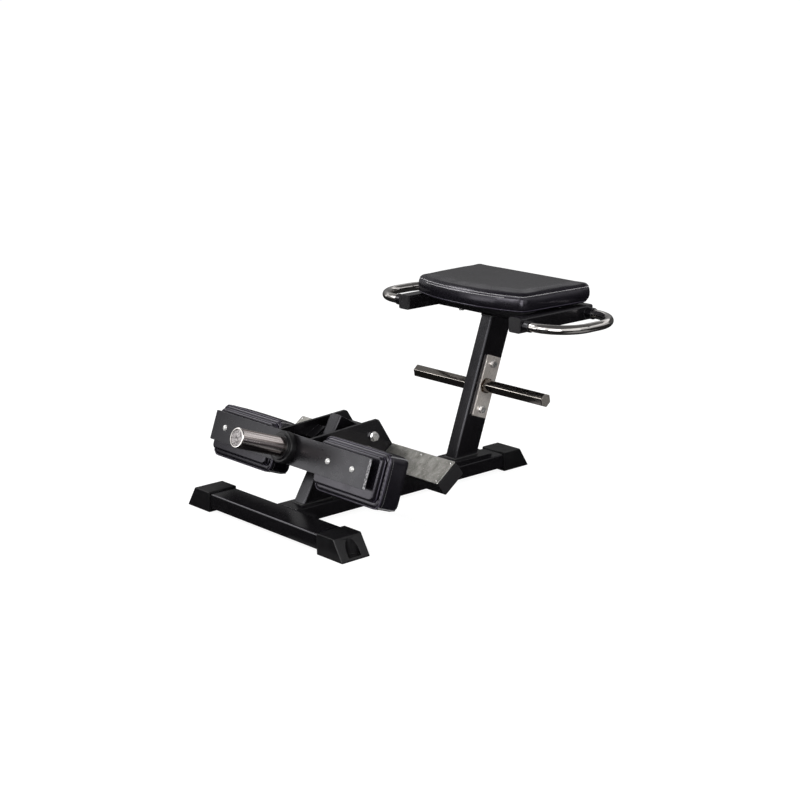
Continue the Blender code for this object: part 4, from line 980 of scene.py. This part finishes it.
def add_pad_cover(side):
    """A deep stuffed cover with piping round its front and corded, sewn end panels."""
    mesh = swollen(f"pad_{side}", PAD_GRID, PAD_SWELL, pad_held)
    co = coordinates(mesh)
    out, behind = behind_plate(co)
    depth = groove(behind - PAD_FRONT - PAD_PIPING_DEPTH, *PAD_PIPING_GROOVE)
    for seam in PAD_SEAMS:
        depth += groove(out - seam, *PAD_END_GROOVE)
    set_coordinates(mesh, co - vertex_normals(mesh) * depth[:, None])
    cover = piece(f"shin_pad_{side}", mesh, "arm", "vinyl", replaces=[f"pad_{side}"], sharp=70)
    tree = tree_of(mesh)
    plan = even(rectangle(*PAD_SIZE, PAD_CORNER, PAD_MIDDLE), LINE_PITCH)
    front = traced(tree, pad_rays(side, plan, PAD_FRONT + PAD_PIPING_DEPTH))
    welt = cord(front, PIPING_RADIUS, PIPING_RISE, 12, closed=True)
    piece(f"pad_piping_{side}", welt, "arm", "vinyl", PIPING, sharp=80)
    line = traced(tree, pad_rays(side, plan, PAD_FRONT + PAD_STITCH_DEPTH))
    stitches(f"pad_stitches_{side}", [line + line[:1]], "arm", DARK_THREAD)
    beads = bmesh.new()
    for end in (-1, 1):
        for height in (-1, 1):
            pairs = traced(tree, corner_rays(side, end, height))
            cord(pairs, BEAD_RADIUS, BEAD_RISE, 8, shape=beads)
    # The beads' pale grey finish is a painted highlight
    piece(f"pad_corner_beads_{side}", beads, "arm", "vinyl", BEAD_HIGHLIGHT_CORD, sharp=80)


def corner_rays(side, end, height, count=24):
    """Rays that meet one long corner of a pad's end panel, from front to back."""
    sign = SIDES[side]
    diagonal = math.sqrt(0.5)
    out = Vector((sign * end * diagonal, height * diagonal, 0))
    x = sign * (PAD_MIDDLE[0] + end * (PAD_SIZE[0] / 2 - PAD_CORNER))
    y = PAD_MIDDLE[1] + height * (PAD_SIZE[1] / 2 - PAD_CORNER)
    rays = []
    for k in range(count + 1):
        depth = PAD_FRONT + PAD_BEAD_DEPTH + PAD_BEAD_LENGTH * k / count
        middle = Vector((x, y, -depth))
        rays.append(plate_ray(middle + out * RAY_START, middle))
    return rays


def add_pad_board(side):
    """The board behind the cross plate, wrapped in the same vinyl and piped round its back edge."""
    middle = (SIDES[side] * PAD_BOARD_MIDDLE[0], PAD_BOARD_MIDDLE[1])
    depth = PAD_BOARD_BACK - PAD_BOARD_FRONT
    edge = PAD_BOARD_EDGE
    # How far in from the outline and how far behind the front face each ring lies
    profile = [(edge + 0.012, 0.0), (edge + 0.002, 0.0)]
    profile += [(edge * (1 - math.sin(a)), edge * (1 - math.cos(a))) for a in np.linspace(0, math.pi / 2, 7)]
    profile += [(-0.0003, depth * 0.75), (0, depth - 0.002), (0.0016, depth)]
    shape = bmesh.new()
    rings = []
    for inset, behind in profile:
        width, height = (size - 2 * inset for size in PAD_BOARD_SIZE)
        outline = rectangle(width, height, max(PAD_BOARD_CORNER - inset, 0.002), middle)
        rings.append([shape.verts.new((p.x, p.y, -PAD_BOARD_FRONT - behind)) for p in outline])
    bridge_rings(shape, rings)
    shape.faces.new(rings[0])
    shape.faces.new(rings[-1])
    board = piece(f"pad_board_cover_{side}", shape, "arm", "vinyl", None, [f"pad_board_{side}"], PLATE, 60)
    outline = even(rectangle(*PAD_BOARD_SIZE, PAD_BOARD_CORNER, middle), LINE_PITCH)
    welt = [PLATE @ Vector((p.x, p.y, PAD_BOARD_PIPING_RISE - PAD_BOARD_BACK)) for p in outline]
    piece(f"board_piping_{side}", swept(welt, PIPING_RADIUS, closed=True), "arm", "vinyl", PIPING, sharp=80)


# Heel rest

def add_heel_screws():
    """Small domed screws along the long edges of the tread plates."""
    inside = HEEL_PLATE_INSIDE + HEEL_SCREW_INSET
    outside = HEEL_PLATE_OUTSIDE - HEEL_SCREW_INSET
    for side, sign in SIDES.items():
        shape = bmesh.new()
        for x in (inside, (inside + outside) / 2, outside):
            for y in (-HEEL_SCREW_INSET, HEEL_SCREW_INSET - HEEL_DEPTH):
                place = Matrix.Translation((sign * x, y, HEEL_PLATE_THICKNESS + TOUCH))
                turned(HEEL_SCREW_HEAD, 20, closed=False, shape=shape, matrix=HEEL @ place)
        piece(f"heel_screws_{side}", shape, "arm", "zinc", sharp=50)


# Seat

def seat_plan():
    """The cushion's plan, bowed at the front and wider at the rear, as points at an even pitch."""
    centre = SEAT_FRONT_Y + SEAT_BOW
    spread = math.asin(SEAT_FRONT_HALF / SEAT_BOW)
    steps = 16
    corners = []
    for k in range(steps + 1):
        a = -math.pi / 2 - spread + 2 * spread * k / steps
        radius = SEAT_FRONT_CORNER if k in (0, steps) else 0
        corners.append((SEAT_BOW * math.cos(a), centre + SEAT_BOW * math.sin(a), radius))
    # The rounded corners take the place of the bow's points beside them
    del corners[1], corners[-2]
    corners += [(x, SEAT_REAR_Y, SEAT_REAR_CORNER) for x in (SEAT_REAR_HALF, -SEAT_REAR_HALF)]
    return even(rounded(corners, 6), SEAT_LINE_PITCH)


def seat_rays(height):
    """Rays that meet the seat's sides at a height, all the way round."""
    plan = seat_plan()
    rays = []
    for before, point, after in zip(plan[-1:] + plan[:-1], plan, plan[1:] + plan[:1]):
        along = (after - before).normalized()
        outward = Vector((along.y, -along.x))
        origin = Vector((*(point + outward * RAY_START), height))
        rays.append((origin, Vector((*-outward, 0))))
    return rays


def seat_held(co, normals):
    """The underside is stapled to the board, and the upper seam draws the cover in."""
    # upward is 1 where the cover faces up, 0 where it faces sideways and -1 where it faces down
    height, upward = co[:, 2], normals[:, 2]
    under = np.maximum(1 - smooth_step(height - SEAT_BOTTOM_Z, *SEAT_LET_GO), upward < -0.35)
    beside = 1 - smooth_step(abs(upward), 0.55, 0.95)
    seam = 1 - smooth_step(abs(height - SEAT_SEAM_Z), *SEAT_SEAM_HOLD)
    return np.maximum(under, SEAT_SEAM_FIRMNESS * seam * beside)


def add_seat():
    """The stuffed seat cover with its crowned border, piped lower edge and pale stitches."""
    mesh = swollen("seat_cushion", SEAT_GRID, SEAT_SWELL, seat_held)
    co = coordinates(mesh)
    height = co[:, 2]
    normals = vertex_normals(mesh)
    # Only the sides are shaped: upright is 1 there and 0 on the top and the underside
    upright = smooth_step(1 - abs(normals[:, 2]), 0.2, 0.5)
    band = np.clip((height - SEAT_LOWER_SEAM_Z) / (SEAT_SEAM_Z - SEAT_LOWER_SEAM_Z), 0, 1)
    depth = groove(height - SEAT_SEAM_Z, *SEAT_GROOVE)
    depth += groove(height - SEAT_LOWER_SEAM_Z, *SEAT_LOWER_GROOVE)
    depth -= SEAT_BORDER_CROWN * 4 * band * (1 - band)
    set_coordinates(mesh, co - normals * (depth * upright)[:, None])
    cover = piece("seat_cover", mesh, "base", "vinyl", replaces=["seat_cushion"], sharp=70)
    tree = tree_of(mesh)
    line = traced(tree, seat_rays(SEAT_SEAM_Z + SEAT_STITCH_RISE))
    second = traced(tree, seat_rays(SEAT_SEAM_Z - SEAT_STITCH_RISE))
    front = [pair for pair in second if pair[0].y < SEAT_FRONT_Y + SEAT_FRONT_CORNER]
    front.sort(key=lambda pair: pair[0].x)
    stitches("seat_stitches", [line + line[:1], front], "base", PALE_THREAD)
    welt = cord(traced(tree, seat_rays(SEAT_LOWER_SEAM_Z)), BEAD_RADIUS, BEAD_RISE, 8, closed=True)
    piece("seat_piping", welt, "base", "vinyl", PIPING, sharp=80)


# Handles

def add_handles():
    """Polished tubes bent out from the side tubes' collars and back."""
    for side, sign in SIDES.items():
        corners = [
            (HANDLE_ROOT_X, HANDLE_FRONT_Y, 0), (HANDLE_REACH, HANDLE_FRONT_Y, HANDLE_FRONT_BEND),
            (HANDLE_REACH, HANDLE_REAR_Y, HANDLE_REAR_BEND), (HANDLE_ROOT_X, HANDLE_REAR_Y, 0),
        ]
        route = [Vector((sign * p.x, p.y, HANDLE_Z)) for p in rounded(corners, 32)]
        grip = swept(route, HANDLE_RADIUS, 40)
        piece(f"grip_{side}", grip, "base", "polished_steel", replaces=[f"handle_{side}"], sharp=50)


# Welds

def post_outline(front_y, lean, height):
    """A leaning post's outline where it meets a level face."""
    run = POST_DEPTH / math.cos(lean)
    return [Vector((*p, height)) for p in rectangle(POST_WIDTH, run, POST_CORNER, (0, front_y + run / 2), 3)]


def add_welds():
    """Painted beads at the posts' ends and burnt ones at the storage bars' roots."""
    head_front = SEAT_POST_FRONT_Y + (SEAT_POST_TOP - SEAT_FLANGE_TOP) * math.tan(SEAT_POST_LEAN)
    pivot_foot = post_outline(PIVOT_POST_FRONT_Y, PIVOT_POST_LEAN, BASE_TOP + FOOT_WELD_LIFT)
    weld("weld_pivot_post", pivot_foot, "frame_paint", WELD_PAINT, FOOT_WELD_RADIUS)
    seat_foot = post_outline(SEAT_POST_FRONT_Y, SEAT_POST_LEAN, SEAT_FLANGE_TOP + FOOT_WELD_LIFT)
    weld("weld_seat_post_foot", seat_foot, "frame_paint", WELD_PAINT, FOOT_WELD_RADIUS)
    seat_head = post_outline(head_front, SEAT_POST_LEAN, SEAT_POST_TOP - HEAD_WELD_DROP)
    weld("weld_seat_post_head", seat_head, "frame_paint", WELD_PAINT, HEAD_WELD_RADIUS)
    for side, sign in SIDES.items():
        low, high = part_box(f"storage_bar_{side}")
        plate_low, plate_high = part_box(f"storage_plate_{side}")
        face = (plate_high.x if sign > 0 else plate_low.x) + sign * BAR_WELD_LIFT
        middle = Vector((face, (low.y + high.y) / 2, (low.z + high.z) / 2))
        angles = [BAR_CORNER_ANGLE + math.radians(60 * k) for k in range(6)]
        hexagon = [middle + Vector((0, BAR_CORNER * math.cos(a), BAR_CORNER * math.sin(a))) for a in angles]
        weld(f"weld_storage_bar_{side}", hexagon, "brushed_steel", BURNT_WELD, BAR_WELD_RADIUS)


# CAD nodes that are shown as they are

def dress_nodes():
    """Every kept node takes its slot's finish and slightly rounded edges."""
    for part in frame["record"]["subparts"]:
        node = nodes[part["node"]]
        mesh = node.data
        mesh.materials.clear()
        mesh.materials.append(NODE_MATERIALS.get(part["node"], MATERIALS[part["material_slot"]]))
        mesh.polygons.foreach_set("material_index", [0] * len(mesh.polygons))
        if node.hide_render:
            continue
        modified(node, "WELD", merge_threshold=MERGE_DISTANCE)
        if part["node"] in TUBES:
            round_corners(node)
        modified(node, "BEVEL", limit_method="ANGLE", width=CUT_EDGE, segments=2, angle_limit=SHARP_ANGLE)
        mesh.polygons.foreach_set("use_smooth", [True] * len(mesh.polygons))
        modified(node, "WEIGHTED_NORMAL", weight=100)


def rounded_place(vertex):
    """A vertex's place to a hundredth of a millimetre, so that the faces' own copies of it agree."""
    return tuple(round(c, 5) for c in vertex.co)


def round_corners(node):
    """Rounds a tube's long outer corners as cold-drawn tube is, by a bevel that follows edge weights."""
    shape = bmesh.new()
    shape.from_mesh(node.data)
    bmesh.ops.remove_doubles(shape, verts=shape.verts, dist=MERGE_DISTANCE)
    wanted = set()
    for edge in shape.edges:
        if len(edge.link_faces) == 2 and edge.calc_length() > LONG_EDGE and edge.is_convex:
            if edge.calc_face_angle() > SQUARE_ANGLE:
                wanted.add(frozenset(rounded_place(v) for v in edge.verts))
    shape.free()
    vertices = node.data.vertices
    weights = []
    for edge in node.data.edges:
        ends = [vertices[i] for i in edge.vertices]
        chosen = frozenset(rounded_place(v) for v in ends) in wanted and runs_along(node, *ends)
        weights.append(1.0 if chosen else 0.0)
    layer = node.data.attributes.new("bevel_weight_edge", "FLOAT", "EDGE")
    layer.data.foreach_set("value", weights)
    # The rounded corners take the paler corner paint, which is partly a painted highlight
    node.data.materials.append(CORNER_WEAR_AND_HIGHLIGHT)
    modified(node, "BEVEL", limit_method="WEIGHT", width=TUBE_CORNER, segments=4, material=1)


def runs_along(node, first, second):
    """Whether an edge between two vertices runs along its tube rather than round its end."""
    way = abs((second.co - first.co).normalized().x)
    return way > 0.99 if node.name in ACROSS_TUBES else way < 0.01


# Floor, light and camera

def white_to_rays(graph, elsewhere):
    """1 for camera, glossy and transmission rays, and the given number for the rest."""
    path = graph.node("LightPath").outputs
    seen = graph.maths("MAXIMUM", path["Is Camera Ray"], path["Is Glossy Ray"])
    seen = graph.maths("MAXIMUM", seen, path["Is Transmission Ray"])
    return graph.between(seen, 0.0, 1.0, elsewhere, 1.0)


def studio_material(name):
    """A new material with nothing at its output, its graph, and its output's socket."""
    material = bpy.data.materials.new(name)
    material.use_nodes = True
    tree = material.node_tree
    tree.nodes.remove(tree.nodes["Principled BSDF"])
    return material, Graph(tree), tree.nodes["Material Output"].inputs["Surface"]


def add_world():
    """White to the camera and in reflections, and a weaker light on matt surfaces."""
    world = bpy.data.worlds.new("studio")
    bpy.context.scene.world = world
    world.use_nodes = True
    background = world.node_tree.nodes["Background"]
    background.inputs["Color"].default_value = (1, 1, 1, 1)
    graph = Graph(world.node_tree)
    graph.feed(background.inputs["Strength"], white_to_rays(graph, AMBIENT))


def add_floor():
    """A pale floor that shows white to the camera and still keeps the object's shadow."""
    bpy.ops.mesh.primitive_grid_add(x_subdivisions=2, y_subdivisions=2, size=FLOOR_SIZE)
    floor = bpy.context.object
    floor.name = "floor"
    material, graph, surface = studio_material("floor")
    matte = graph.node("BsdfDiffuse", Color=(0.9, 0.9, 0.9, 1))
    glow = graph.node("Emission", Strength=FLOOR_GLOW)
    mix = graph.node("MixShader", Fac=graph.maths("MULTIPLY", white_to_rays(graph, 0.0), FLOOR_WHITENESS))
    graph.feed(mix.inputs[1], matte.outputs[0])
    graph.feed(mix.inputs[2], glow.outputs[0])
    graph.feed(surface, mix.outputs[0])
    floor.data.materials.append(material)


def add_lamp(name, place, size, power):
    """A round soft lamp that lights matt surfaces; what gloss shows of the studio is left to the cards."""
    lamp = bpy.data.lights.new(name, "AREA")
    lamp.shape = "DISK"
    lamp.size = size
    lamp.energy = power
    obj = linked(name, lamp)
    obj.location = place
    obj.rotation_euler = (STUDIO_MIDDLE - Vector(place)).to_track_quat("-Z", "Y").to_euler()
    obj.visible_glossy = False


def add_card(name, place, width, height, tones, towards=STUDIO_MIDDLE, across=False):
    """A studio card that faces the machine and shows only in reflections.

    tones is its brightness from its lower to its upper edge, or from left to right if across, as the machine
    sees it."""
    mesh = bpy.data.meshes.new(name)
    x, y = width / 2, height / 2
    mesh.from_pydata([(-x, -y, 0), (x, -y, 0), (x, y, 0), (-x, y, 0)], [], [(0, 1, 2, 3)])
    card = linked(name, mesh)
    card.location = place
    card.rotation_euler = (Vector(towards) - Vector(place)).to_track_quat("Z", "Y").to_euler()
    material, graph, surface = studio_material(name)
    spot = graph.node("SeparateXYZ", Vector=graph.node("TexCoord").outputs["Object"]).outputs
    half = x if across else y
    tone = graph.between(spot["X" if across else "Y"], -half, half, *tones)
    graph.feed(surface, graph.node("Emission", Strength=tone).outputs[0])
    mesh.materials.append(material)
    card.visible_camera = card.visible_diffuse = card.visible_shadow = card.visible_transmission = False


def add_lights():
    """A soft key from the front left, a wide overhead lamp, a low fill, and the cards that gloss shows."""
    add_lamp("key", (-2.1, -2.2, 2.2), 1.3, 56)
    add_lamp("overhead", (0.2, 0.3, 3.2), 2.4, 40)
    add_lamp("fill", (3.4, -0.2, 0.9), 1.2, 26)
    add_card("floor_card", (0, 0, 0.002), 14, 14, (0.02, 0.02), (0, 0, 5))
    add_card("back_card", (-1.75, 1.6, 0.72), 4.2, 1.5, (0.0, 0.32), (0, 0, 0.72))
    add_card("horn_floor_card", (0.2, -0.37, 0.004), 0.25, 0.2, (0.2, 0.2), (0.2, -0.37, 5))
    add_card("near_floor_card", (1.0, 0.5, 0.004), 0.9, 0.8, (0.22, 0.22), (1.0, 0.5, 5))
    add_card("side_low_card", (4.1, 4.1, 0.42), 8.0, 0.84, (0.08, 0.14), (0, 0, 0.42))
    add_card("back_upper_card", (-1.9, 1.75, 1.97), 4.6, 1.0, (0.80, 0.40), (0, 0, 1.97))
    add_card("side_card", (4.3, 4.3, 1.9), 8.0, 2.2, (0.60, 0.45), (0, 0, 1.9))
    add_card("rear_low_card", (-0.8, 2.6, 0.66), 3.2, 1.3, (0.07, 0.07), (-0.8, 0, 0.66))
    add_card("rear_card", (0.7, 2.6, 1.75), 4.4, 0.7, (1.1, 0.8), (0.7, 0, 1.75))
    add_card("rear_upper_card", (0.7, 2.6, 2.45), 4.4, 0.7, (0.12, 0.12), (0.7, 0, 2.45))
    add_card("roof_card", (0.2, 0.3, 2.9), 5.6, 5.6, (0.10, 0.10), (0.2, 0.3, 0))
    add_card("left_roof_card", (-1.55, 0.35, 1.95), 1.8, 1.3, (0.25, 0.40))
    add_card("left_card", (-2.7, -1.9, 0.95), 3.4, 1.9, (0.0, 0.6), (0, 0, 0.95))
    add_card("plate_box", (-0.66, -1.02, 0.37), 0.60, 0.34, (3.9, 0.9), (0.07, -0.37, 0.2), across=True)
    add_card("post_box", (-0.77, -0.96, 0.68), 0.47, 0.30, (1.1, 1.1))
    add_card("top_box", (-1.75, -1.0, 1.75), 0.8, 1.1, (5.0, 6.0))
    add_card("front_box", (-0.35, -2.9, 1.35), 1.0, 1.0, (7.0, 7.0))
    add_card("seat_post_box", (0.72, -0.42, 0.50), 0.40, 0.40, (5.0, 5.0), (0, 0.3, 0.25))
    add_card("pivot_post_box", (0.62, -0.76, 0.40), 0.30, 0.26, (5.0, 5.0), (0, -0.25, 0.12))


def add_camera():
    """The photograph's viewpoint."""
    data = bpy.data.cameras.new("camera")
    data.lens = CAMERA_LENS
    data.sensor_width = CAMERA_SENSOR
    turn = Matrix.Rotation(CAMERA_AZIMUTH, 4, "Z") @ Matrix.Rotation(math.pi / 2 - CAMERA_ELEVATION, 4, "X")
    camera = linked("camera", data)
    camera.matrix_world = Matrix.Translation(CAMERA_PLACE) @ turn @ Matrix.Rotation(CAMERA_ROLL, 4, "Z")
    bpy.context.scene.camera = camera


bpy.context.scene.view_settings.view_transform = "Standard"
add_camera()
add_world()
add_floor()
add_lights()
add_horn()
add_handles()
for side in SIDES:
    add_pad_cover(side)
    add_pad_board(side)
add_seat()
add_heel_screws()
add_welds()
dress_nodes()
